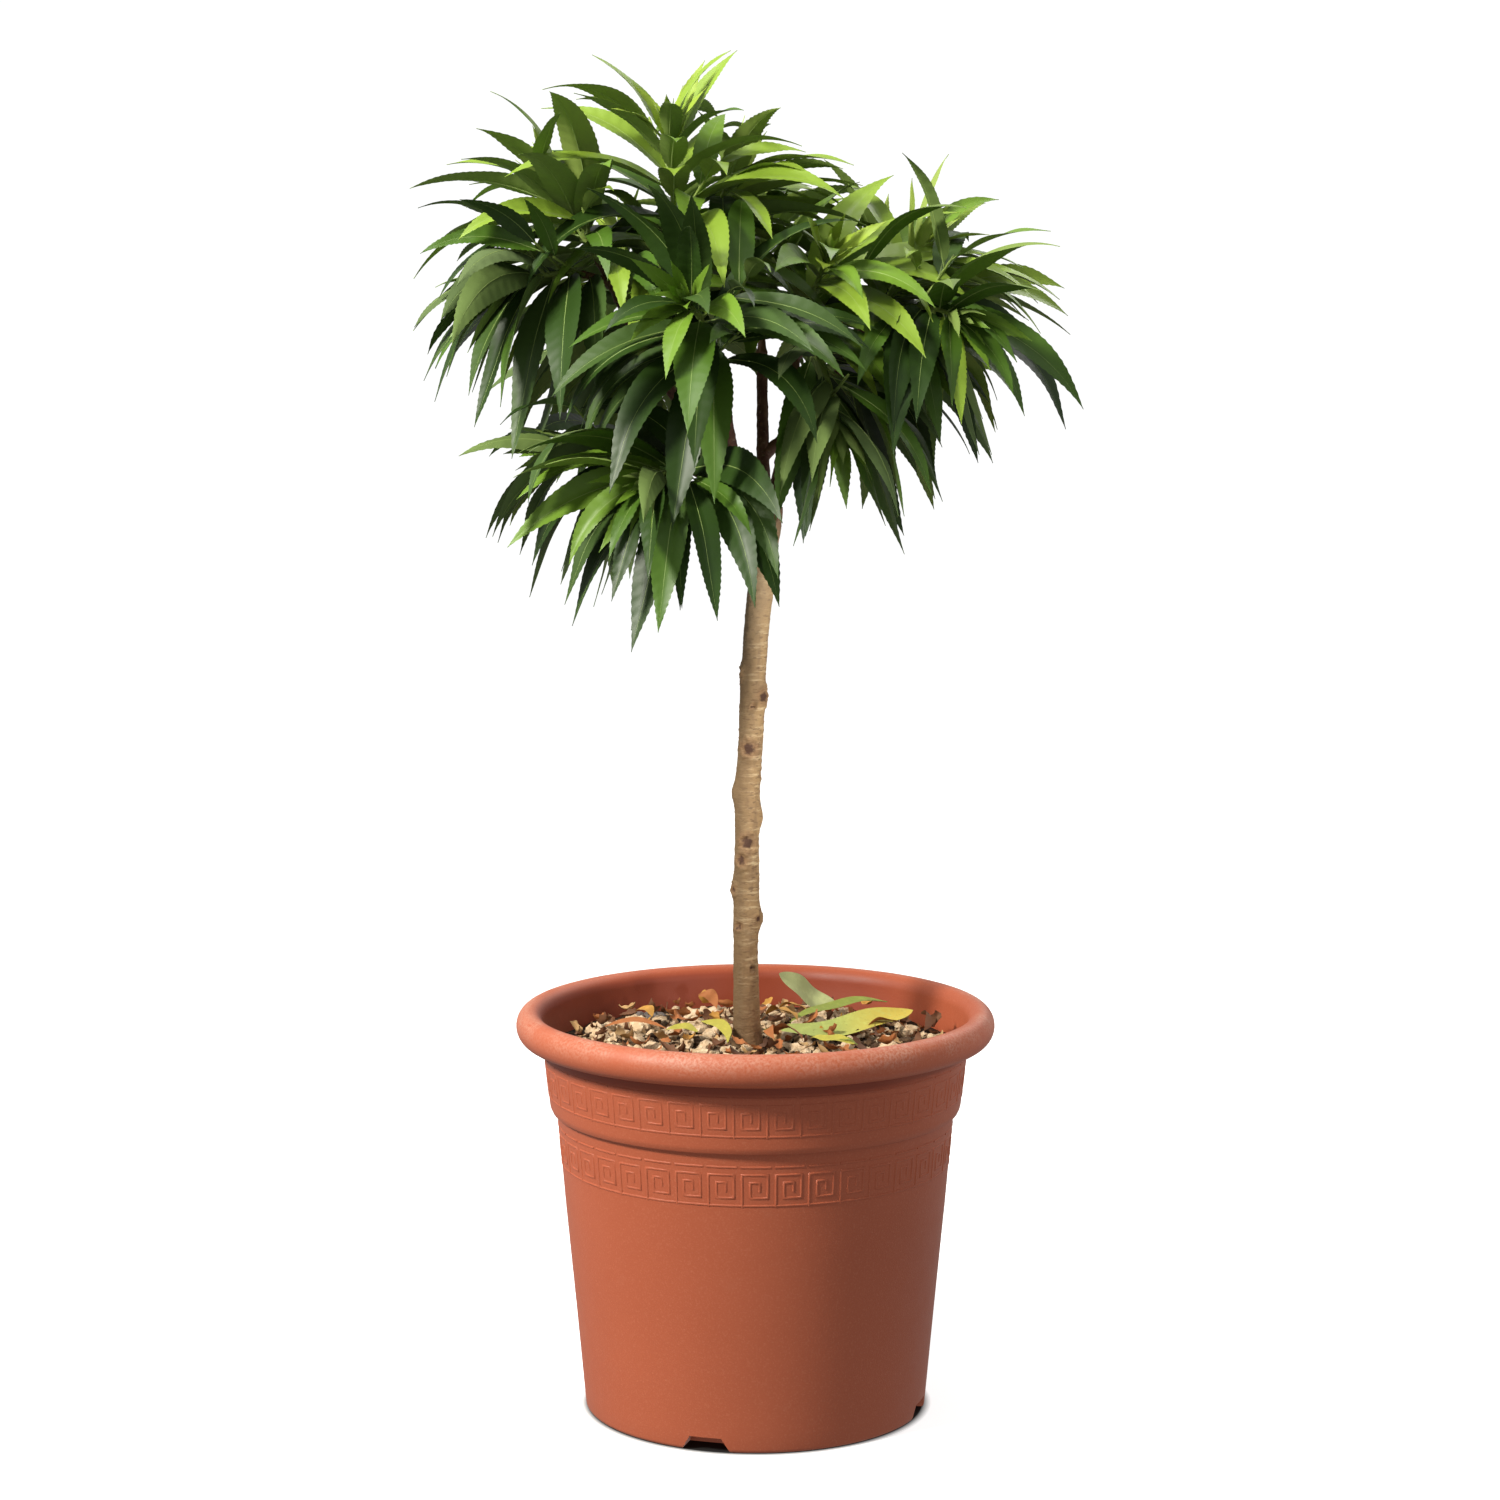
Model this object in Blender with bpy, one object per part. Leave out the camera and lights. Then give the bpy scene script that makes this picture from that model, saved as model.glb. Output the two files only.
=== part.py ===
"""A dwarf peach tree grown as a small standard in a round plastic pot.

Metres, +Z up. The origin is the middle of the pot's flat underside, and the front is towards -Y.
The pot and the soil are turned shapes, the trunk and the boughs are swept limbs, and each mass of
foliage is a few shoots with leaves set round them by one rule: two turns for every five leaves.
"""

import math
import random

import bmesh
import bpy
from mathutils import Matrix, Vector
from mathutils.bvhtree import BVHTree

UP = Vector((0.0, 0.0, 1.0))
CLEARANCE = 0.0003

# Pot
POT_SIDES = 48
POT_WALL = 0.003
POT_FLOOR = 0.0125
FOOT_ROUNDING = 0.0025
WALL_OUTLINE = ((0.0, 0.1075), (0.065, 0.1134), (0.130, 0.1196), (0.1885, 0.1246))
COLLAR_OUTLINE = ((0.1925, 0.1276), (0.1965, 0.1293), (0.235, 0.1335))
RIM_RADIUS = 0.1415
RIM_HEIGHT = 0.2445
RIM_HALF_WIDTH = 0.0085
RIM_HALF_HEIGHT = 0.0101
RIM_START = -150.0
RIM_END = 180.0
RIM_STEPS = 9
NOTCH_COUNT = 4
NOTCH_AZIMUTH = -106.5
NOTCH_TOP_WIDTH = 0.020
NOTCH_FOOT_WIDTH = 0.031
NOTCH_HEIGHT = 0.009
NOTCH_DEPTH = 0.018

# Soil
SOIL_TOP = 0.2285
SOIL_FALL = 0.0015
SOIL_MIDDLE = 0.047

# The largest stones on the soil: some in marked places, and the rest on a spiral between them
STONES = (
    # sideways place, depth, radius
    (-0.069, 0.094, 0.0095),
    (-0.061, -0.019, 0.0105),
    (-0.031, -0.029, 0.0090),
    (-0.027, 0.094, 0.0095),
    (0.084, -0.007, 0.0115),
    (0.029, -0.015, 0.0085),
    (0.030, 0.072, 0.0085),
    (0.058, 0.095, 0.0085),
    (-0.099, 0.048, 0.0095),
    (-0.091, -0.010, 0.0090),
    (-0.048, 0.038, 0.0085),
    (0.068, 0.038, 0.0085),
)
SPIRAL_STONES = 40
SPIRAL_REACH = 0.106
SPIRAL_TURN = math.radians(137.5)
SPIRAL_RADIUS = 0.0090
STONE_SPACING = 0.030
STONE_CLEARANCE = 0.0125
STONE_SUNK = 0.25
STONE_FLATNESS = 0.80
STONE_SIDES = 5

# Trunk: height, sideways place and radius up its length
TRUNK_FOOT = SOIL_TOP + CLEARANCE
TRUNK_TOP = 0.566
TRUNK_LEAN = ((0.2288, -0.0050), (0.285, -0.0060), (0.385, -0.0050), (0.486, 0.0000), (0.566, 0.0085))
TRUNK_RADII = ((0.2288, 0.0098), (0.240, 0.0084), (0.285, 0.0079), (0.486, 0.0076), (0.566, 0.0084))
TRUNK_SIDES = 12
TRUNK_STEPS = 30
KNOT_REACH = 0.0022
KNOT_HEIGHT = 0.007
KNOT_SPREAD = 0.6
KNOTS = (
    # height, azimuth in degrees
    (0.311, -10.0),
    (0.330, 180.0),
    (0.348, -105.0),
    (0.360, -85.0),
    (0.375, -5.0),
    (0.391, 175.0),
    (0.419, -88.0),
    (0.451, -10.0),
    (0.465, 180.0),
)

# Boughs: parent, share of the parent's length where each leaves it, tip, radii at root and tip
BOUGHS = (
    ("bough_right", "trunk", 0.965, (0.024, 0.010, 0.650), 0.0056, 0.0034),
    ("bough_left", "trunk", 0.955, (-0.040, 0.004, 0.688), 0.0054, 0.0032),
    ("bough_low", "trunk", 0.915, (-0.024, -0.034, 0.580), 0.0046, 0.0030),
    ("bough_back", "trunk", 0.930, (0.004, 0.052, 0.660), 0.0050, 0.0031),
    ("bough_left_out", "bough_left", 0.42, (-0.083, -0.006, 0.694), 0.0036, 0.0028),
    ("bough_front", "bough_left", 0.30, (-0.020, -0.046, 0.648), 0.0036, 0.0028),
    ("bough_right_out", "bough_right", 0.60, (0.068, 0.004, 0.672), 0.0036, 0.0028),
    ("bough_back_left", "bough_back", 0.40, (-0.052, 0.066, 0.655), 0.0036, 0.0028),
    ("bough_back_right", "bough_back", 0.55, (0.060, 0.062, 0.662), 0.0036, 0.0028),
)
BOUGH_SIDES = 8
BOUGH_STEPS = 7
BOUGH_OUT = 0.60
BOUGH_RISE = 0.36

# Shoots: the bough that carries each mass, then the tip, leaf count and seed of its shoots
MASSES = (
    ("foliage_top", "bough_left", (
        ((-0.052, -0.020, 0.792), 26, 43),
        ((-0.012, 0.022, 0.764), 18, 15),
    )),
    ("foliage_left", "bough_left_out", (
        ((-0.124, 0.000, 0.762), 26, 40),
        ((-0.150, -0.030, 0.704), 24, 11),
    )),
    ("foliage_front", "bough_front", (
        ((-0.040, -0.100, 0.694), 26, 47),
    )),
    ("foliage_low", "bough_low", (
        ((-0.062, -0.086, 0.590), 25, 17),
        ((-0.114, -0.030, 0.604), 20, 57),
    )),
    ("foliage_middle", "bough_right", (
        ((0.043, -0.036, 0.720), 24, 24),
        ((0.050, -0.056, 0.620), 18, 26),
    )),
    ("foliage_right", "bough_right_out", (
        ((0.098, 0.000, 0.724), 24, 23),
        ((0.118, -0.060, 0.686), 21, 25),
    )),
    ("foliage_back", "bough_back", (
        ((0.006, 0.100, 0.742), 24, 33),
    )),
    ("foliage_back_left", "bough_back_left", (
        ((-0.084, 0.088, 0.728), 22, 16),
        ((-0.082, 0.120, 0.652), 18, 38),
    )),
    ("foliage_back_right", "bough_back_right", (
        ((0.080, 0.086, 0.722), 22, 17),
        ((0.092, 0.104, 0.658), 18, 1),
    )),
)
SHOOT_STEPS = 5
SHOOT_ROOT_RADIUS = 0.0026
SHOOT_TIP_RADIUS = 0.0012
SHOOT_FORK = 0.16
SHOOT_BEND = 0.4
WAY_SPAN = 0.05

# Leaves. Those low on a shoot are old, stand out and hang; the young ones at its tip point along it
LEAF_TURN = math.radians(144.0)
LEAF_LEANS = ((0.0, 82.0), (0.5, 63.0), (0.8, 43.0), (1.0, 28.0))
LEAF_LENGTHS = ((0.0, 0.104), (0.5, 0.122), (0.75, 0.112), (1.0, 0.068))
LEAF_DROOPS = ((0.0, 1.35), (0.5, 1.05), (1.0, 0.70))
LEAF_HALF_WIDTH = 0.106
LEAF_THICKNESS = 0.014
LEAF_THINNING = 0.4
LEAF_ROLL = 0.3
LEAF_LEAN_SPREAD = 9.0
LEAF_LENGTH_SPREAD = (0.86, 1.08)
LEAF_DROOP_SPREAD = (0.65, 1.25)
LEAF_STATIONS = (0.0, 0.30, 0.65)
LEAF_OUTLINE = ((0.0, 0.10), (0.30, 0.96), (0.65, 0.76), (1.0, 0.0))
LEAF_STEPS = 20
LEAF_SUPPLENESS = ((0.0, 0.4), (0.45, 1.4), (1.0, 1.4))
LEAF_HANG = 0.35
NEARLY_UPRIGHT = 0.2
NEARLY_DOWN = 0.05
LEAF_TRIES = 16
LEAF_ROOT_SHARE = 0.12
LEAF_SPARE = 0.0006
LEAF_CROWDING = 0.8
LEAF_WANDER = 0.12
LEAF_SEEKING = 0.09
SEED_SPACING = 1000
LEAFY_FROM = 0.12
LEAFY_TO = 0.985

# Places where the crown is open from front to back: sideways place, height and radius
SKY_GAPS = ((0.004, 0.613, 0.014), (-0.014, 0.636, 0.010), (0.052, 0.583, 0.014), (0.010, 0.664, 0.008))


# Materials


def plain_material(name, colour, roughness):
    material = bpy.data.materials.new(name)
    material.use_nodes = True
    shader = material.node_tree.nodes["Principled BSDF"]
    shader.inputs["Base Color"].default_value = (*colour, 1.0)
    shader.inputs["Roughness"].default_value = roughness
    shader.inputs["Metallic"].default_value = 0.0
    material.diffuse_color = (*colour, 1.0)
    return material


def make_materials():
    return {
        "pot": plain_material("terracotta_plastic", (0.47, 0.15, 0.07), 0.5),
        "soil": plain_material("planting_mix", (0.16, 0.10, 0.06), 0.95),
        "bark": plain_material("trunk_bark", (0.36, 0.25, 0.15), 0.8),
        "bough": plain_material("young_bark", (0.16, 0.07, 0.04), 0.7),
        "leaf": plain_material("leaf_green", (0.07, 0.20, 0.03), 0.45),
    }


# Shapes


def between(table, x):
    """The value at x on a line through the table's (x, value) pairs."""
    for (x0, value0), (x1, value1) in zip(table, table[1:]):
        if x <= x1:
            return value0 + (value1 - value0) * max(0.0, (x - x0) / (x1 - x0))
    return table[-1][1]


def turned(profile, sides):
    """Corners and faces of a solid turned about Z, with flat ends where the profile starts and stops."""
    corners = []
    for radius, height in profile:
        for side in range(sides):
            angle = 2.0 * math.pi * side / sides
            corners.append(Vector((radius * math.cos(angle), radius * math.sin(angle), height)))
    return corners, tube_faces(len(profile), sides)


def tube_faces(rings, sides):
    """Faces between rings of corners, with the first and last ring closed."""
    faces = [tuple(reversed(range(sides)))]
    for ring in range(rings - 1):
        for side in range(sides):
            first = ring * sides + side
            second = ring * sides + (side + 1) % sides
            faces.append((first, second, second + sides, first + sides))
    faces.append(tuple(range((rings - 1) * sides, rings * sides)))
    return faces


def swept(path, radius_at, sides):
    """Corners and faces of a limb along a path. radius_at takes a ring's number and an angle."""
    along = path[1] - path[0]
    across = along.orthogonal().normalized()
    corners = []
    for ring, point in enumerate(path):
        behind = path[max(ring - 1, 0)]
        ahead = path[min(ring + 1, len(path) - 1)]
        along = (ahead - behind).normalized()
        across = (across - along * across.dot(along)).normalized()
        third = along.cross(across)
        for side in range(sides):
            angle = 2.0 * math.pi * side / sides
            way = across * math.cos(angle) + third * math.sin(angle)
            corners.append(point + way * radius_at(ring, way))
    return corners, tube_faces(len(path), sides)


def new_object(name, shape, material, smooth_below=40.0):
    corners, faces = shape
    mesh = bpy.data.meshes.new(name)
    mesh.from_pydata(corners, [], faces)
    mesh.shade_smooth()
    mesh.set_sharp_from_angle(angle=math.radians(smooth_below))
    mesh.materials.append(material)
    made = bpy.data.objects.new(name, mesh)
    bpy.context.scene.collection.objects.link(made)
    return made


def largest_piece(made):
    """Keeps the widest of an object's separate pieces, so a sealed hollow is filled and a scrap is gone."""
    shape = bmesh.new()
    shape.from_mesh(made.data)
    left = set(shape.verts)
    pieces = []
    while left:
        edge_of_piece = [left.pop()]
        piece = set(edge_of_piece)
        while edge_of_piece:
            vert = edge_of_piece.pop()
            for edge in vert.link_edges:
                other = edge.other_vert(vert)
                if other in left:
                    left.discard(other)
                    piece.add(other)
                    edge_of_piece.append(other)
        pieces.append(piece)

    def spread(piece):
        return sum(max(v.co[i] for v in piece) - min(v.co[i] for v in piece) for i in range(3))

    kept = max(pieces, key=spread)
    bmesh.ops.delete(shape, geom=[v for v in shape.verts if v not in kept], context="VERTS")
    shape.to_mesh(made.data)
    shape.free()


def apply_modifiers(made):
    bpy.context.view_layer.update()
    graph = bpy.context.evaluated_depsgraph_get()
    mesh = bpy.data.meshes.new_from_object(made.evaluated_get(graph))
    made.modifiers.clear()
    old = made.data
    made.data = mesh
    bpy.data.meshes.remove(old)


def cut(made, cutters):
    """Takes the cutters away from an object, one after another, and removes them."""
    for cutter in cutters:
        boolean = made.modifiers.new("cut", "BOOLEAN")
        boolean.operation = "DIFFERENCE"
        boolean.solver = "EXACT"
        boolean.object = cutter
    apply_modifiers(made)
    for cutter in cutters:
        bpy.data.objects.remove(cutter)
    largest_piece(made)


# Pot and soil


def wall_radius(height):
    return between(WALL_OUTLINE + COLLAR_OUTLINE, height)


def rim_outline():
    """The rolled rim, from under its lip over the top to its inner edge."""
    points = []
    for step in range(RIM_STEPS + 1):
        angle = math.radians(RIM_START + (RIM_END - RIM_START) * step / RIM_STEPS)
        radius = RIM_RADIUS + RIM_HALF_WIDTH * math.cos(angle)
        points.append((radius, RIM_HEIGHT + RIM_HALF_HEIGHT * math.sin(angle)))
    return points


def inner_outline():
    heights = [height for height, _ in WALL_OUTLINE[1:] + COLLAR_OUTLINE[1:2]]
    heights = [POT_FLOOR] + heights + [SOIL_TOP]
    return [(wall_radius(height) - POT_WALL, height) for height in heights]


def notch_cutter(azimuth):
    """A trapezoidal notch through the foot of the wall, wider at the ground."""
    corners = []
    outer = wall_radius(0.0) + NOTCH_DEPTH
    inner = wall_radius(0.0) - NOTCH_DEPTH
    for radius in (inner, outer):
        corners.append(Vector((radius, -NOTCH_FOOT_WIDTH / 2, -NOTCH_HEIGHT)))
        corners.append(Vector((radius, NOTCH_FOOT_WIDTH / 2, -NOTCH_HEIGHT)))
        corners.append(Vector((radius, NOTCH_FOOT_WIDTH / 2, 0.0)))
        corners.append(Vector((radius, NOTCH_TOP_WIDTH / 2, NOTCH_HEIGHT)))
        corners.append(Vector((radius, -NOTCH_TOP_WIDTH / 2, NOTCH_HEIGHT)))
        corners.append(Vector((radius, -NOTCH_FOOT_WIDTH / 2, 0.0)))
    turn = Matrix.Rotation(math.radians(azimuth), 3, "Z")
    shape = ([turn @ corner for corner in corners], tube_faces(2, 6))
    cutter = new_object("notch_cutter", shape, None)
    cutter.hide_render = True
    cutter.display_type = "WIRE"
    return cutter


def make_pot(material):
    outline = [(wall_radius(0.0) - FOOT_ROUNDING, 0.0), (wall_radius(0.0), FOOT_ROUNDING)]
    outline += [(radius, height) for height, radius in WALL_OUTLINE[1:] + COLLAR_OUTLINE[:-1]]
    outline += rim_outline()
    outline += reversed(inner_outline())
    pot = new_object("pot", turned(outline, POT_SIDES), material)
    notches = [notch_cutter(NOTCH_AZIMUTH + 360.0 * i / NOTCH_COUNT) for i in range(NOTCH_COUNT)]
    cut(pot, notches)
    return pot


def stone_places():
    """The marked stones, then those of a spiral that keep clear of them and of the trunk."""
    places = list(STONES)
    for number in range(SPIRAL_STONES):
        distance = SPIRAL_REACH * math.sqrt((number + 0.5) / SPIRAL_STONES)
        x = distance * math.cos(number * SPIRAL_TURN)
        y = distance * math.sin(number * SPIRAL_TURN)
        from_trunk = math.hypot(x - TRUNK_LEAN[0][1], y)
        apart = min(math.hypot(x - stone[0], y - stone[1]) for stone in places)
        if apart > STONE_SPACING and from_trunk > STONE_CLEARANCE + SPIRAL_RADIUS:
            places.append((x, y, SPIRAL_RADIUS))
    return places


def stone_shape(x, y, radius):
    """A stone of two rings of corners between a foot and a top, sunk in the soil."""
    middle = SOIL_TOP + radius * STONE_SUNK
    half = radius * STONE_FLATNESS
    corners = [Vector((x, y, middle - radius))]
    for ring, height in ((0, middle - half / 2), (1, middle + half / 2)):
        for side in range(STONE_SIDES):
            angle = 2.0 * math.pi * (side + ring / 2) / STONE_SIDES + x * y / radius**2
            corners.append(Vector((x + radius * math.cos(angle), y + radius * math.sin(angle), height)))
    corners.append(Vector((x, y, middle + half)))
    faces = []
    for side in range(STONE_SIDES):
        low, next_low = 1 + side, 1 + (side + 1) % STONE_SIDES
        high, next_high = low + STONE_SIDES, next_low + STONE_SIDES
        faces += [(0, next_low, low), (low, next_low, high), (next_low, next_high, high)]
        faces.append((high, next_high, len(corners) - 1))
    return corners, faces


def make_soil(material):
    outline = [(radius - CLEARANCE, height) for radius, height in inner_outline()]
    outline[0] = (outline[0][0], POT_FLOOR + CLEARANCE)
    outline[-1] = (outline[-1][0], SOIL_TOP - SOIL_FALL)
    outline.append((SOIL_MIDDLE, SOIL_TOP))
    stones = [stone_shape(*place) for place in stone_places()]
    return fuse("soil", [turned(outline, POT_SIDES)] + stones, material)


# Trunk and boughs


def trunk_path():
    heights = [TRUNK_FOOT + (TRUNK_TOP - TRUNK_FOOT) * i / TRUNK_STEPS for i in range(TRUNK_STEPS + 1)]
    return [Vector((between(TRUNK_LEAN, height), 0.0, height)) for height in heights]


def knot_bump(height, way):
    """How far the knots and bud scars push the bark out at a place on the trunk."""
    bump = 0.0
    for knot_height, azimuth in KNOTS:
        facing = Vector((math.cos(math.radians(azimuth)), math.sin(math.radians(azimuth)), 0.0))
        off_side = way.angle(facing) / KNOT_SPREAD
        off_height = (height - knot_height) / KNOT_HEIGHT
        bump += KNOT_REACH * math.exp(-off_side * off_side - off_height * off_height)
    return bump


def trunk_shape(path, swell):
    def radius_at(ring, way):
        height = path[ring].z
        return between(TRUNK_RADII, height) + knot_bump(height, way) + swell

    return swept(path, radius_at, TRUNK_SIDES)


def bow(root, bend, tip, steps):
    """Points of a curve from root to tip, drawn towards bend."""
    shares = [step / steps for step in range(steps + 1)]
    return [root * (1 - t) ** 2 + bend * 2 * t * (1 - t) + tip * t * t for t in shares]


def bough_path(root, tip):
    """A bough leaves its parent outwards and then turns up to its tip."""
    reach = tip - root
    bend = root + Vector((reach.x * BOUGH_OUT, reach.y * BOUGH_OUT, reach.z * BOUGH_RISE))
    return bow(root, bend, tip, BOUGH_STEPS)


def bough_shape(path, root_radius, tip_radius, swell):
    def radius_at(ring, way):
        return root_radius + (tip_radius - root_radius) * ring / (len(path) - 1) + swell

    return swept(path, radius_at, BOUGH_SIDES)


def lengthened(path, extra):
    """The path with both ends moved outwards, for a cutter that clears the ends too."""
    first = path[0] + (path[0] - path[1]).normalized() * extra
    last = path[-1] + (path[-1] - path[-2]).normalized() * extra
    return [first] + path[1:-1] + [last]


def point_along(path, share):
    place = share * (len(path) - 1)
    ring = min(int(place), len(path) - 2)
    return path[ring].lerp(path[ring + 1], place - ring)


def way_along(path, share):
    """The direction of a path, smoothed over the joints between its rings."""
    ahead = point_along(path, min(share + WAY_SPAN, 1.0))
    return (ahead - point_along(path, max(share - WAY_SPAN, 0.0))).normalized()


def limb_cutter(shape):
    cutter = new_object("limb_cutter", shape, None)
    cutter.hide_render = True
    cutter.display_type = "WIRE"
    return cutter


def make_limbs(materials):
    """The trunk and the boughs, each cut clear of the limbs made before it that it grows from or by."""
    paths = {"trunk": trunk_path()}
    limbs = {"trunk": new_object("trunk", trunk_shape(paths["trunk"], 0.0), materials["bark"])}
    cutter_shapes = {"trunk": trunk_shape(lengthened(paths["trunk"], CLEARANCE), CLEARANCE)}
    parents = {"trunk": None}
    for name, parent, share, tip, root_radius, tip_radius in BOUGHS:
        path = bough_path(point_along(paths[parent], share), Vector(tip))
        bough = new_object(name, bough_shape(path, root_radius, tip_radius, 0.0), materials["bough"])
        near = [other for other in limbs if other == parent or parents[other] == parent]
        near += [parents[parent]] if parents[parent] else []
        cut(bough, [limb_cutter(cutter_shapes[other]) for other in near])
        paths[name] = path
        limbs[name] = bough
        parents[name] = parent
        cutter_shapes[name] = bough_shape(lengthened(path, CLEARANCE), root_radius, tip_radius, CLEARANCE)
    return paths, limbs


# Shoots and leaves


def shoot_path(root, along, tip):
    """A shoot that leaves its root along the bough's own direction and bends to its tip."""
    bend = root + along * (tip - root).length * SHOOT_BEND
    return bow(root, bend, tip, SHOOT_STEPS)


def shoot_shape(path):
    def radius_at(ring, way):
        return SHOOT_ROOT_RADIUS + (SHOOT_TIP_RADIUS - SHOOT_ROOT_RADIUS) * ring / (len(path) - 1)

    return swept(path, radius_at, 3)


def mass_shoots(carrier, tips):
    """Paths of a mass's shoots. The first meets the carrier's tip, and the others fork off the first."""
    along = (carrier[-1] - carrier[-2]).normalized()
    root = carrier[-1] + along * CLEARANCE
    first = shoot_path(root, along, Vector(tips[0][0]))
    paths = [first]
    for tip, _, _ in tips[1:]:
        fork = point_along(first, SHOOT_FORK)
        outward = (Vector(tip) - fork).normalized()
        paths.append(shoot_path(fork, (along + outward).normalized(), Vector(tip)))
    return paths


def leaf_line(root, along, outward, share, chance):
    """The midrib of one leaf: its points, directions and sideways axes at even steps, and its length.

    share says how far up its shoot the leaf sits.
    """
    lean = math.radians(between(LEAF_LEANS, share) + chance.uniform(-LEAF_LEAN_SPREAD, LEAF_LEAN_SPREAD))
    length = between(LEAF_LENGTHS, share) * chance.uniform(*LEAF_LENGTH_SPREAD)
    droop = between(LEAF_DROOPS, share) * chance.uniform(*LEAF_DROOP_SPREAD)
    way = (along * math.cos(lean) + outward * math.sin(lean)).normalized()
    side = way.cross(along).normalized()
    level = way.cross(UP)
    if level.length > NEARLY_UPRIGHT:
        level = level.normalized() * (1.0 if level.dot(side) > 0 else -1.0)
        side = (side + level).normalized()
    side = Matrix.Rotation(chance.uniform(-LEAF_ROLL, LEAF_ROLL), 3, way) @ side
    side = (side - way * side.dot(way)).normalized()
    line = [(root.copy(), way.copy(), side.copy())]
    point = root.copy()
    for step in range(LEAF_STEPS):
        axis = way.cross(-UP)
        if axis.length > NEARLY_DOWN:
            bend = droop / LEAF_STEPS * between(LEAF_SUPPLENESS, step / LEAF_STEPS)
            bend = min(bend, max(0.0, way.angle(-UP) - LEAF_HANG))
            turn = Matrix.Rotation(bend, 3, axis.normalized())
            way = (turn @ way).normalized()
            side = (turn @ side).normalized()
        point = point + way * length / LEAF_STEPS
        line.append((point.copy(), way.copy(), side.copy()))
    return line, length


def leaf_shape(line, length, spare=0.0, start=0.0):
    """A keeled blade of three-sided sections along the midrib, closed to a point at its tip."""
    corners = []
    faces = [(0, 1, 2)]
    stations = [max(station, start) for station in LEAF_STATIONS]
    for station in stations:
        point, way, side = line[round(station * LEAF_STEPS)]
        normal = side.cross(way)
        half = LEAF_HALF_WIDTH * length * between(LEAF_OUTLINE, station) + spare
        keel = LEAF_THICKNESS * length * (1.0 - LEAF_THINNING * station) + spare
        corners.append(point + side * half + normal * spare)
        corners.append(point - side * half + normal * spare)
        corners.append(point - normal * keel)
    corners.append(line[-1][0] + line[-1][1] * spare)
    last = len(corners) - 1
    for ring in range(len(stations)):
        for side_number in range(3):
            first = ring * 3 + side_number
            second = ring * 3 + (side_number + 1) % 3
            if ring == len(stations) - 1:
                faces.append((first, last, second))
            else:
                faces.append((first, first + 3, second + 3))
                faces.append((first, second + 3, second))
    return corners, faces


class Space:
    """What is already in the crown, and whether a new leaf would touch any of it."""

    def __init__(self):
        self.pieces = []

    def add(self, owner, shape):
        self.pieces.append((owner, *box_of(shape[0]), BVHTree.FromPolygons(*shape)))

    def touches(self, owner, whole, blade):
        """Whether the whole leaf meets another mass or a limb, or its blade meets its own mass."""
        low, high = box_of(whole[0])
        whole_tree = BVHTree.FromPolygons(*whole)
        blade_tree = BVHTree.FromPolygons(*blade)
        for other_owner, other_low, other_high, other in self.pieces:
            if all(low[i] < other_high[i] and high[i] > other_low[i] for i in range(3)):
                tree = blade_tree if other_owner == owner else whole_tree
                if tree.overlap(other):
                    return True
        return False


def box_of(corners):
    low = [min(corner[i] for corner in corners) for i in range(3)]
    high = [max(corner[i] for corner in corners) for i in range(3)]
    return low, high


def fills_gap(line):
    """Whether a leaf crosses one of the places where the crown is open from front to back."""
    for point, _, _ in line:
        for across, height, radius in SKY_GAPS:
            if math.hypot(point.x - across, point.z - height) < radius:
                return True
    return False


def shoot_leaves(owner, path, count, seed, space):
    """Leaves round one shoot, dense towards its tip. One that finds no free way is left out."""
    phase = random.Random(seed).uniform(0.0, 2.0 * math.pi)
    kept = []
    for number in range(count):
        share = LEAFY_FROM + (1.0 - LEAFY_FROM) * ((number + 0.5) / count) ** LEAF_CROWDING
        root = point_along(path, min(share, LEAFY_TO))
        along = way_along(path, share)
        across = along.orthogonal().normalized()
        for attempt in range(LEAF_TRIES):
            chance = random.Random(SEED_SPACING * seed + LEAF_TRIES * number + attempt)
            angle = phase + LEAF_TURN * number + chance.gauss(0.0, LEAF_WANDER + LEAF_SEEKING * attempt)
            outward = Matrix.Rotation(angle, 3, along) @ across
            line, length = leaf_line(root, along, outward, share, chance)
            whole = leaf_shape(line, length, LEAF_SPARE)
            blade = leaf_shape(line, length, LEAF_SPARE, LEAF_ROOT_SHARE)
            if not fills_gap(line) and not space.touches(owner, whole, blade):
                kept.append(leaf_shape(line, length))
                space.add(owner, kept[-1])
                break
    return kept


def fuse(name, shapes, material):
    """Joins shapes that run into each other into one closed solid."""
    collection = bpy.data.collections.new(name)
    bpy.context.scene.collection.children.link(collection)
    mass = new_object(name, shapes[0], material)
    for shape in shapes[1:]:
        piece = new_object("piece", shape, material)
        bpy.context.scene.collection.objects.unlink(piece)
        collection.objects.link(piece)
    union = mass.modifiers.new("union", "BOOLEAN")
    union.operation = "UNION"
    union.operand_type = "COLLECTION"
    union.collection = collection
    union.solver = "MANIFOLD"
    apply_modifiers(mass)
    for piece in list(collection.objects):
        bpy.data.objects.remove(piece)
    bpy.data.collections.remove(collection)
    largest_piece(mass)
    return mass


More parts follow.
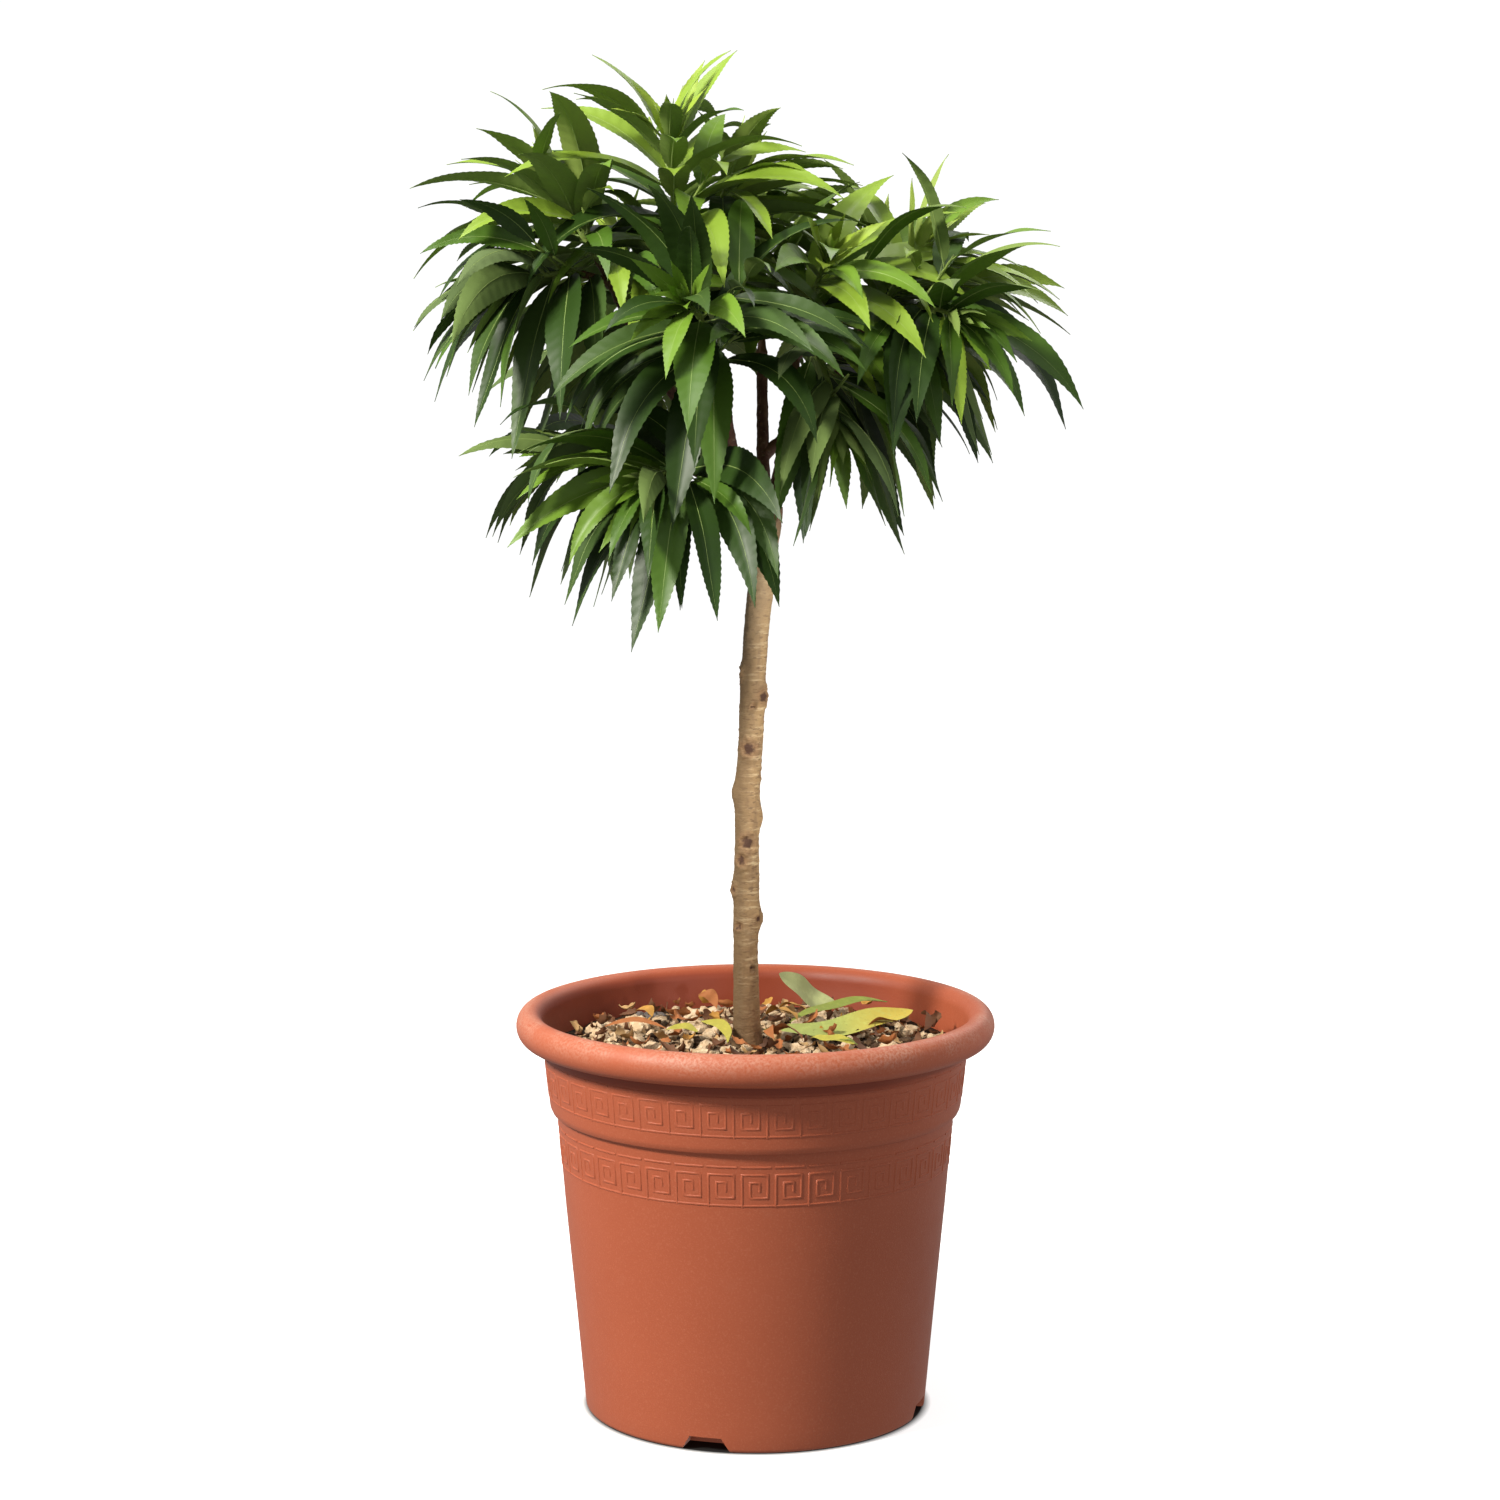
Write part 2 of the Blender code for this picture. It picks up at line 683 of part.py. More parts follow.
def make_foliage(limb_paths, limbs, material):
    space = Space()
    for limb_name, limb in limbs.items():
        corners = [vert.co.copy() for vert in limb.data.vertices]
        faces = [tuple(face.vertices) for face in limb.data.polygons]
        space.add(limb_name, (corners, faces))
    shoots = {}
    for name, carrier, tips in MASSES:
        shoots[name] = mass_shoots(limb_paths[carrier], tips)
        for path in shoots[name]:
            space.add(name, shoot_shape(path))
    leaves = {name: [] for name, _, _ in MASSES}
    for name, _, tips in MASSES:
        for path, (_, count, seed) in zip(shoots[name], tips):
            leaves[name] += shoot_leaves(name, path, count, seed, space)
    for name, _, _ in MASSES:
        fuse(name, [shoot_shape(path) for path in shoots[name]] + leaves[name], material)
    return leaves


def main():
    for old in list(bpy.data.objects):
        bpy.data.objects.remove(old)
    materials = make_materials()
    make_pot(materials["pot"])
    make_soil(materials["soil"])
    limb_paths, limbs = make_limbs(materials)
    leaves = make_foliage(limb_paths, limbs, materials["leaf"])
    print("leaves", {name: len(kept) for name, kept in leaves.items()})


main()
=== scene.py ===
"""The looks of a dwarf peach tree grown as a small standard in a round plastic pot.

Metres, +Z up, front towards -Y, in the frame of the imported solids. The pot is a fine turned shell with
two raised key bands, the soil is strewn with pumice and fallen leaves, the trunk and the boughs carry
their bark's relief, and every leaf of the solids becomes a folded, toothed blade on its twig.
"""

import math
import random

import bpy
import numpy as np
from mathutils import Matrix, Vector, noise
from mathutils.bvhtree import BVHTree


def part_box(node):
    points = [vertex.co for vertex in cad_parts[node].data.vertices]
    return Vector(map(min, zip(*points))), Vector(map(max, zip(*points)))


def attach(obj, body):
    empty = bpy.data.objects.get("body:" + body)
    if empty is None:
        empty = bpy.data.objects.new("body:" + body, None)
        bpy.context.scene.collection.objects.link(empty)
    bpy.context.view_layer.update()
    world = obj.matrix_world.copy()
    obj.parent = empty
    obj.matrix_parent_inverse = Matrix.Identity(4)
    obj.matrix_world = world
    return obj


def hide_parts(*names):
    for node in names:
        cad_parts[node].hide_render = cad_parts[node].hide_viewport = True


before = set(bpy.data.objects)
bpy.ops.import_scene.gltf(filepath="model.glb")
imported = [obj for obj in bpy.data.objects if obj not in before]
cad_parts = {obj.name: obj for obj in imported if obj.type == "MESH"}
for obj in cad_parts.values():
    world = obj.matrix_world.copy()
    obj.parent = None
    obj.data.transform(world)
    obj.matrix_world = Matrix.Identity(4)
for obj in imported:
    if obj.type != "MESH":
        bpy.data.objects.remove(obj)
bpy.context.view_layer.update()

UP = Vector((0.0, 0.0, 1.0))
CLEARANCE = 0.0003

# Camera and light
CAMERA_PLACE = (-0.0034, -2.2, 0.704)
CAMERA_PITCH = 0.1297
CAMERA_LENS = 85.6
LIGHTS = (
    # name, place, aim, width, watts, colour
    ("key_light", (-1.95, -1.3, 2.1), (0.0, 0.0, 0.4), 0.58, 128.0, (1.0, 0.96, 0.88)),
    ("top_light", (-0.75, -0.35, 2.9), (0.0, 0.0, 0.7), 0.6, 32.0, (1.0, 0.97, 0.9)),
    ("back_light", (1.2, 2.1, 2.1), (0.0, 0.0, 0.5), 1.4, 18.0, (1.0, 0.98, 0.95)),
)
SPOTS = (
    # name, place, aim, watts, cone
    ("trunk_foot_light", (1.15, -1.9, 0.46), (0.0, 0.0, 0.36), 185.0, 5.5),
    ("trunk_top_light", (1.15, -1.9, 0.36), (0.0, 0.0, 0.485), 230.0, 6.5),
    ("litter_light", (1.6, -1.3, 1.3), (0.085, 0.02, 0.24), 85.0, 5.5),
)
SPOT_BLEND = 1.0
SPOT_RADIUS = 0.06
SKY_TOP = 0.56
SKY_LEVEL = 0.44
SKY_FOOT = 0.32
BACKDROP_RADIUS = 12.0
BACKDROP_GLOW = 1.05
FLOOR_SIZE = 9.0
FLOOR_COLOUR = (0.62, 0.62, 0.615)
FLOOR_GLOW = 0.72
FLOOR_SHADE = (0.112, 0.106)
FLOOR_PAINTED_SHADOW = (0.02, 0.02, 0.02)
FLOOR_LEVEL = -0.0002
ORIGIN = (0.0, 0.0, 0.0)
WHITE = (1.0, 1.0, 1.0, 1.0)

# The colour sockets of a mixing node, by their numbers
MIX_UNDER = 6
MIX_OVER = 7
MIX_RESULT = 2

# Pot
POT_SIDES = 240
POT_LONGEST_SIDE = 0.012
POT_SHARP_ABOVE = 42.0
POT_WALL = 0.003
POT_FLOOR = 0.0125
FOOT_ROUNDING = 0.0025
CREASE_ROUNDING = 0.0003
COLLAR_ROUNDING = 0.0014
WALL_OUTLINE = ((0.0, 0.1075), (0.065, 0.1134), (0.13, 0.1196), (0.1902, 0.1247))
COLLAR_OUTLINE = ((0.1908, 0.1277), (0.1938, 0.1291), (0.235, 0.1335))
RIM_RADIUS = 0.1415
RIM_HEIGHT = 0.2445
RIM_HALF_WIDTH = 0.0085
RIM_HALF_HEIGHT = 0.0101
RIM_START = -150.0
RIM_END = 180.0
RIM_STEPS = 36
NOTCH_COUNT = 4
NOTCH_AZIMUTH = -106.5
NOTCH_TOP_WIDTH = 0.02
NOTCH_FOOT_WIDTH = 0.031
NOTCH_HEIGHT = 0.009
NOTCH_DEPTH = 0.018

# The dark tint on the inside of the wall, partly a stain and partly painted shade that is deepest on the
# left, and the pale dust and painted sheen on the rim's top: where each fades, and its colour
STAIN_AND_SHADE_REACH = (0.1375, 0.1405)
STAIN_AND_SHADE_TOP = (0.2545, 0.2495)
PAINTED_SHADE_SIDE = (0.135, 0.07)
STAIN_AND_SHADE_SPAN = 0.004
STAIN_AND_SHADE_STRENGTH = 0.92
STAIN_AND_SHADE_COLOUR = (0.225, 0.036, 0.012)
DUST_AND_SHEEN_HEIGHTS = (0.24, 0.25)
DUST_AND_SHEEN_REACH = (0.1375, 0.1425)
DUST_AND_SHEEN_STRENGTH = 0.8
DUST_AND_SHEEN_COLOUR = (0.5, 0.262, 0.185)

# Raised key bands: height of the foot line, and how many units go round
KEY_BANDS = ((0.202, 41), (0.158, 38))
KEY_LEVEL = 0.0048
KEY_SPIRAL = (
    # share of the unit's width, level
    (0.1, 0), (0.1, 4), (0.86, 4), (0.86, 1), (0.34, 1), (0.34, 3), (0.62, 3), (0.62, 2),
)
KEY_DASH = ((0.1, 5), (0.9, 5))
KEY_HALF_WIDTH = 0.00085
KEY_CREST = 0.00045
KEY_RELIEF = 0.00036
KEY_SUNK = 0.0003
KEY_STEP = 0.004
# Section of the raised line: place across it, and how far it stands out
KEY_SECTION = (
    (-KEY_HALF_WIDTH, -KEY_SUNK),
    (-KEY_HALF_WIDTH * 0.94, 0.0),
    (-KEY_CREST, KEY_RELIEF),
    (KEY_CREST, KEY_RELIEF),
    (KEY_HALF_WIDTH * 0.94, 0.0),
    (KEY_HALF_WIDTH, -KEY_SUNK),
)

# Soil and litter
SOIL_TOP = 0.2285
SOIL_ROUGHNESS = 0.003
SOIL_SIDES = 150
SOIL_RINGS = 60
LITTER_REACH = 0.117
STONE_SORTS = (
    # name, count, least and greatest radius, how round, seed
    ("pumice", 190, 0.0032, 0.0066, 0.36, 11),
    ("grit", 500, 0.0013, 0.0025, 0.22, 12),
    ("crumbs", 700, 0.0014, 0.0036, 0.3, 13),
    ("slate", 8, 0.003, 0.0056, 0.26, 14),
)
# The largest stones on the soil: some in marked places, and the rest on a spiral between them
STONES = (
    # sideways place, depth, radius
    (-0.069, 0.094, 0.0095),
    (-0.061, -0.019, 0.0105),
    (-0.031, -0.029, 0.009),
    (-0.027, 0.094, 0.0095),
    (0.084, -0.007, 0.0115),
    (0.029, -0.015, 0.0085),
    (0.03, 0.072, 0.0085),
    (0.058, 0.095, 0.0085),
    (-0.099, 0.048, 0.0095),
    (-0.091, -0.01, 0.009),
    (-0.048, 0.038, 0.0085),
    (0.068, 0.038, 0.0085),
)
SPIRAL_STONES = 40
SPIRAL_REACH = 0.106
SPIRAL_TURN = math.radians(137.5)
SPIRAL_RADIUS = 0.009
STONE_SPACING = 0.03
STONE_CLEARANCE = 0.0125
STONE_STRETCH = ((0.85, 1.25), (0.75, 1.05), (0.6, 0.85))
STONE_FLATS = 6
FLAT_DEPTH = 0.8
SCATTER_TRIES = 12
CROWDING = 0.82
HEAP_STONES = 4
HEAP_TOP = 0.66
HEAP_FOOT = (0.48, 0.6)
HEAP_SPREAD = 0.62
SMALL_STONE = 0.004
SLATE_LUMPS = (0,)
FALLEN_LEAVES = (
    # tint, broad end, tip, bow sideways, rise of the middle, half width, roll
    ("fallen_pale", (0.016, 0.066, 0.263), (0.055, 0.082, 0.237), 0.004, -0.003, 0.0084, 0.9),
    ("fallen_green", (0.086, 0.084, 0.241), (0.022, 0.038, 0.237), -0.006, 0.003, 0.0056, -0.15),
    ("fallen_crescent", (0.101, 0.044, 0.244), (0.005, 0.004, 0.2385), 0.012, -0.002, 0.0096, -0.42),
    ("fallen_straw", (0.061, -0.037, 0.239), (0.035, -0.02, 0.239), 0.003, 0.002, 0.0038, -0.35),
    ("fallen_green", (0.05, -0.035, 0.24), (0.063, -0.036, 0.238), 0.002, 0.002, 0.0026, 0.2),
    ("fallen_straw", (-0.034, 0.02, 0.241), (-0.017, -0.033, 0.238), 0.006, 0.003, 0.0036, 0.6),
    ("fallen_straw", (-0.056, 0.006, 0.238), (-0.036, -0.002, 0.239), 0.003, 0.002, 0.0046, 0.25),
    ("dry_orange", (-0.095, 0.012, 0.239), (-0.056, 0.006, 0.239), 0.005, 0.004, 0.0028, 0.4),
    ("dry_orange", (-0.037, 0.092, 0.244), (-0.025, 0.084, 0.236), 0.004, 0.003, 0.0042, 0.7),
    ("dry_gold", (0.007, 0.05, 0.24), (0.027, 0.033, 0.239), 0.003, 0.004, 0.0062, -0.25),
    ("dry_gold", (0.015, 0.068, 0.24), (0.034, 0.06, 0.239), 0.003, 0.003, 0.0042, -0.2),
    ("dry_gold", (-0.077, 0.056, 0.24), (-0.066, 0.045, 0.239), 0.003, 0.003, 0.0044, 0.2),
    ("dry_orange", (0.007, -0.008, 0.239), (0.029, -0.029, 0.2385), 0.006, 0.005, 0.0042, -0.5),
    ("dry_orange", (0.015, -0.002, 0.237), (0.012, -0.026, 0.239), -0.005, 0.005, 0.0036, 0.6),
    ("dry_orange", (0.07, 0.013, 0.239), (0.095, 0.01, 0.239), 0.005, 0.004, 0.0042, -0.3),
    ("dry_brown", (0.106, 0.035, 0.243), (0.106, 0.008, 0.237), 0.005, 0.003, 0.004, -0.6),
)
DRY_LEAVES = 170
DRY_SEED = 31
DRY_HALF_LENGTHS = (0.0042, 0.0105)
DRY_RISE = (0.0035, 0.0095)
DRY_TINTS = ("dry_orange", "dry_brown", "dry_straw", "dry_gold")
DRY_COUNTS = (7, 6, 3, 1)
FALLEN_THICKNESS = 0.0003
LENS_COLUMNS = 5
FALLEN_RISE = 0.66
FALLEN_FALL = 0.86

# Trunk: height, sideways place and radius up its length
TRUNK_FOOT = 0.227
TRUNK_TOP = 0.566
TRUNK_LEAN = ((0.2288, -0.005), (0.285, -0.006), (0.385, -0.005), (0.486, 0.0000), (0.566, 0.0085))
TRUNK_RADII = ((0.2288, 0.0098), (0.24, 0.0084), (0.285, 0.0079), (0.486, 0.0076), (0.566, 0.0084))
TRUNK_SIDES = 64
TRUNK_STEPS = 380
TRUNK_COARSE_STEPS = 30
KNOT_REACH = 0.0022
KNOT_HEIGHT = 0.007
KNOT_SPREAD = 0.6
SCAR_DEPTH = 0.0013
RING_RELIEF = 0.00016
ROUGH_RELIEF = 0.0002
BROAD_RELIEF = 0.0006
LENTICEL_RELIEF = 0.00034
FLARE_REACH = 0.0011
FLARE_HEIGHT = 0.01
KNOTS = (
    # height, azimuth in degrees
    (0.311, -10.0),
    (0.33, 180.0),
    (0.348, -105.0),
    (0.36, -85.0),
    (0.375, -5.0),
    (0.391, 175.0),
    (0.419, -88.0),
    (0.451, -10.0),
    (0.465, 180.0),
)

# Dark scars where twigs were cut: height, azimuth in degrees and half width
SCARS = (
    (0.4645, 172.0, 0.0036),
    (0.451, -30.0, 0.004),
    (0.445, -84.0, 0.0018),
    (0.419, -93.0, 0.0044),
    (0.403, -14.0, 0.0024),
    (0.36, -86.0, 0.0044),
    (0.349, -112.0, 0.0034),
    (0.33, -168.0, 0.0026),
    (0.311, -28.0, 0.0026),
    (0.307, -128.0, 0.0022),
    (0.28, -60.0, 0.002),
)

# Heights between which the bark's foot, its top with painted light and its fork take their colour, how far
# the left side turns to painted shade, and the tints round and in a scar: two reaches in half widths,
# strength and colour
BARK_HEIGHTS = ((0.318, 0.236), (0.47, 0.52), (0.535, 0.572))
BARK_PAINTED_SHADE = (0.6, -0.5)
SCAR_TINTS = ((2.0, 0.9, 0.55, (0.205, 0.108, 0.05)), (0.95, 0.55, 0.94, (0.048, 0.02, 0.011)))

# Boughs: parent, share of the parent's length where each leaves it, tip, radii at root and tip
BOUGHS = (
    ("bough_right", "trunk", 0.965, (0.024, 0.01, 0.65), 0.0056, 0.0034),
    ("bough_left", "trunk", 0.955, (-0.04, 0.004, 0.688), 0.0054, 0.0032),
    ("bough_low", "trunk", 0.915, (-0.024, -0.034, 0.58), 0.0046, 0.003),
    ("bough_back", "trunk", 0.93, (0.004, 0.052, 0.66), 0.005, 0.0031),
    ("bough_left_out", "bough_left", 0.42, (-0.083, -0.006, 0.694), 0.0036, 0.0028),
    ("bough_front", "bough_left", 0.3, (-0.02, -0.046, 0.648), 0.0036, 0.0028),
    ("bough_right_out", "bough_right", 0.6, (0.068, 0.004, 0.672), 0.0036, 0.0028),
    ("bough_back_left", "bough_back", 0.4, (-0.052, 0.066, 0.655), 0.0036, 0.0028),
    ("bough_back_right", "bough_back", 0.55, (0.06, 0.062, 0.662), 0.0036, 0.0028),
)
BOUGH_SIDES = 24
BOUGH_STEPS = 7
BOUGH_FINE_STEPS = 90
BOUGH_OUT = 0.6
BOUGH_RISE = 0.36

# Shoots: the bough that carries each mass, then the tip, leaf count and seed of its shoots
MASSES = (
    ("foliage_top", "bough_left", (((-0.052, -0.02, 0.792), 26, 43), ((-0.012, 0.022, 0.764), 18, 15))),
    ("foliage_left", "bough_left_out", (((-0.124, 0.000, 0.762), 26, 40), ((-0.15, -0.03, 0.704), 24, 11))),
    ("foliage_front", "bough_front", (((-0.04, -0.1, 0.694), 26, 47),)),
    ("foliage_low", "bough_low", (((-0.062, -0.086, 0.59), 25, 17), ((-0.114, -0.03, 0.604), 20, 57))),
    ("foliage_middle", "bough_right", (((0.043, -0.036, 0.72), 24, 24), ((0.05, -0.056, 0.62), 18, 26))),
    ("foliage_right", "bough_right_out", (((0.098, 0.000, 0.724), 24, 23), ((0.118, -0.06, 0.686), 21, 25))),
    ("foliage_back", "bough_back", (((0.006, 0.1, 0.742), 24, 33),)),
    (
        "foliage_back_left", "bough_back_left",
        (((-0.084, 0.088, 0.728), 22, 16), ((-0.082, 0.12, 0.652), 18, 38)),
    ),
    (
        "foliage_back_right", "bough_back_right",
        (((0.08, 0.086, 0.722), 22, 17), ((0.092, 0.104, 0.658), 18, 1)),
    ),
)
SHOOT_STEPS = 5
SHOOT_ROOT_RADIUS = 0.0026
SHOOT_TIP_RADIUS = 0.0012
SHOOT_FORK = 0.16
SHOOT_BEND = 0.4
SHOOT_SIDES = 12
SHOOT_FINE_STEPS = 60
SHOOT_RIPENED = 0.42
WAY_SPAN = 0.05

# Leaves. Those low on a shoot are old, stand out and hang; the young ones at its tip point along it
LEAF_TURN = math.radians(144.0)
LEAF_LEANS = ((0.0, 82.0), (0.5, 63.0), (0.8, 43.0), (1.0, 28.0))
LEAF_LENGTHS = ((0.0, 0.104), (0.5, 0.122), (0.75, 0.112), (1.0, 0.068))
LEAF_DROOPS = ((0.0, 1.35), (0.5, 1.05), (1.0, 0.7))
LEAF_HALF_WIDTH = 0.106
LEAF_THICKNESS = 0.014
LEAF_THINNING = 0.4
LEAF_ROLL = 0.3
LEAF_LEAN_SPREAD = 9.0
LEAF_LENGTH_SPREAD = (0.86, 1.08)
LEAF_DROOP_SPREAD = (0.65, 1.25)
LEAF_STATIONS = (0.0, 0.3, 0.65)
LEAF_OUTLINE = ((0.0, 0.1), (0.3, 0.96), (0.65, 0.76), (1.0, 0.0))
LEAF_STEPS = 20
LEAF_SUPPLENESS = ((0.0, 0.4), (0.45, 1.4), (1.0, 1.4))
LEAF_HANG = 0.35
NEARLY_UPRIGHT = 0.2
NEARLY_DOWN = 0.05
LEAF_TRIES = 16
LEAF_ROOT_SHARE = 0.12
LEAF_SPARE = 0.0006
LEAF_CROWDING = 0.8
LEAF_WANDER = 0.12
LEAF_SEEKING = 0.09
SEED_SPACING = 1000
LEAFY_FROM = 0.12
LEAFY_TO = 0.985

# Places where the crown is open from front to back: sideways place, height and radius
SKY_GAPS = ((0.004, 0.613, 0.014), (-0.014, 0.636, 0.01), (0.052, 0.583, 0.014), (0.01, 0.664, 0.008))

# The fine blade laid on each leaf's line
BLADE_START = 0.055
BLADE_RISE = 0.62
BLADE_FALL = 1.1
BLADE_PEAK = BLADE_RISE / (BLADE_RISE + BLADE_FALL)
BLADE_TIP = 0.00018
BLADE_THICKNESS = 0.00022
BLADE_FOLD = (0.18, 0.46)
BLADE_FOLD_SEAT = 0.42
TOOTH_DEPTH = 0.00062
VEIN_PITCH = 0.0082
VEIN_SWEEP = 3.4
VEIN_RELIEF = 0.00016
VEIN_FADE = 0.006
EDGE_WAVE = 0.001
RIB_RADII = (0.00082, 0.00022)
LEAF_SEED = 7000
LEAF_ROWS = 49
LEAF_COLUMNS = 7
LONG_LEAF = 0.075
SHORT_LEAF_ROWS = 31
SMALL_LEAF = 0.05
SMALL_LEAF_COLUMNS = 5

# Side twigs and the tufts of young leaves at the tips
SIDE_TWIGS = 3
SIDE_FROM = 0.26
SIDE_TO = 0.86
SIDE_LENGTH = (0.03, 0.052)
SIDE_LEAN = (0.75, 1.1)
SIDE_SEED = 500
SIDE_LIFT = 0.006
SIDE_LEAFY_FROM = 0.35
SIDE_RADII = (0.0012, 0.0007)
SIDE_STEPS = 12
SIDE_SIDES = 8
SIDE_LEAVES = 4
SIDE_LEAF_SCALE = (0.7, 0.96)
TUFT_SEED = 900
TUFT_SEAT = 0.008
TUFT_DROOP = (0.15, 0.9)
TUFT_LEAVES = 9
TUFT_LENGTHS = (0.022, 0.062)
TUFT_LEANS = ((0.0, 5.0), (1.0, 34.0))

# Leaf tints: top and underside. The underside is the leaf's own paler colour, made brighter and warmer as
# painted light shining through the leaf
TINTS = {
    "deep": ((0.021, 0.05, 0.006), (0.085, 0.13, 0.042)),
    "dull": ((0.043, 0.084, 0.016), (0.11, 0.158, 0.058)),
    "mid": ((0.056, 0.122, 0.011), (0.13, 0.194, 0.052)),
    "fresh": ((0.122, 0.224, 0.02), (0.17, 0.248, 0.056)),
    "light": ((0.2, 0.31, 0.03), (0.22, 0.3, 0.065)),
    "young": ((0.255, 0.36, 0.04), (0.29, 0.385, 0.075)),
}
TINT_ORDER = ("light", "fresh", "mid", "dull", "deep")
# The share of a shoot beyond which a leaf is near its tip, and how often each tint falls there and below. The
# tints are dealt as painted light and shade: paler on sunny shoots, darker on shady ones
TINT_COUNTS = {
    "sunny": (0.6, (12, 6, 1, 0, 0), (7, 7, 4, 1, 2)),
    "outer": (0.7, (2, 5, 5, 1, 3), (0, 3, 5, 2, 7)),
    "shady": (0.75, (0, 2, 6, 3, 7), (0, 0, 3, 4, 12)),
}
SUNNY_ABOVE = 0.715
SUNNY_BEYOND = 0.09
FALLEN_TINTS = {
    "fallen_pale": (0.36, 0.385, 0.17),
    "fallen_green": (0.2, 0.235, 0.04),
    "fallen_crescent": (0.3, 0.34, 0.09),
    "fallen_straw": (0.38, 0.34, 0.055),
    "dry_orange": (0.33, 0.118, 0.038),
    "dry_gold": (0.47, 0.24, 0.05),
    "dry_brown": (0.125, 0.052, 0.023),
    "dry_straw": (0.4, 0.245, 0.105),
}
CRESCENT_YELLOW = (0.05, 0.085)
CRESCENT_COLOUR = (0.52, 0.4, 0.06)
STONE_COLOURS = {
    # colour, pale patches, dark patches
    "pumice": ((0.56, 0.4, 0.24), (0.72, 0.57, 0.39), (0.3, 0.18, 0.092)),
    "grit": ((0.34, 0.2, 0.098), (0.56, 0.395, 0.23), (0.13, 0.066, 0.03)),
    "crumbs": ((0.058, 0.03, 0.014), (0.13, 0.074, 0.036), (0.02, 0.011, 0.006)),
    "slate": ((0.12, 0.1, 0.09), (0.19, 0.165, 0.15), (0.05, 0.042, 0.04)),
}
RIB_COLOUR = (0.24, 0.33, 0.095)
TWIG_COLOURS = {"ripe": (0.15, 0.075, 0.035), "green": (0.19, 0.27, 0.05)}


# Small helpers


def heading(azimuth):
    """The level direction at so many degrees round the upright axis."""
    angle = math.radians(azimuth)
    return Vector((math.cos(angle), math.sin(angle), 0.0))


def between(table, x):
    """The value at x on a line through the table's (x, value) pairs."""
    for (x0, value0), (x1, value1) in zip(table, table[1:]):
        if x <= x1:
            return value0 + (value1 - value0) * max(0.0, (x - x0) / (x1 - x0))
    return table[-1][1]


def grid_faces(rows, columns, ring=False):
    """Triangles over a grid of points, row by row. With ring, the last column joins the first."""
    row = np.arange(rows - 1)[:, None] * columns
    column = np.arange(columns if ring else columns - 1)[None, :]
    a = row + column
    b = row + (column + 1) % columns
    halves = (np.stack([a, b, b + columns], -1), np.stack([a, b + columns, a + columns], -1))
    return np.concatenate([half.reshape(-1, 3) for half in halves])


def tube_faces(rows, columns):
    """Triangles of a tube with both ends closed."""
    fan = np.arange(1, columns - 1)
    start = np.stack([np.zeros_like(fan), fan + 1, fan], -1)
    last = (rows - 1) * columns
    end = np.stack([np.full_like(fan, last), last + fan, last + fan + 1], -1)
    return np.concatenate([grid_faces(rows, columns, ring=True), start, end])


class Pile:
    """Many small shapes gathered into one mesh."""

    def __init__(self):
        self.points = []
        self.faces = []
        self.count = 0

    def add(self, points, faces):
        self.points.append(points)
        self.faces.append(faces + self.count)
        self.count += len(points)

    def shape(self):
        return np.concatenate(self.points), np.concatenate(self.faces)


def dress(name, shape, material, replaced=(), sharp_above=None):
    """Makes a piece from points and triangles, and hides the solids' parts that it stands in for."""
    points, faces = shape
    mesh = bpy.data.meshes.new(name)
    mesh.from_pydata(points.tolist(), [], faces.tolist())
    mesh.shade_smooth()
    if sharp_above is not None:
        mesh.set_sharp_from_angle(angle=math.radians(sharp_above))
    mesh.materials.append(material)
    piece = bpy.data.objects.new(name, mesh)
    bpy.context.scene.collection.objects.link(piece)
    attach(piece, "root")
    if replaced:
        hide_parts(*replaced)
    return piece


# Materials


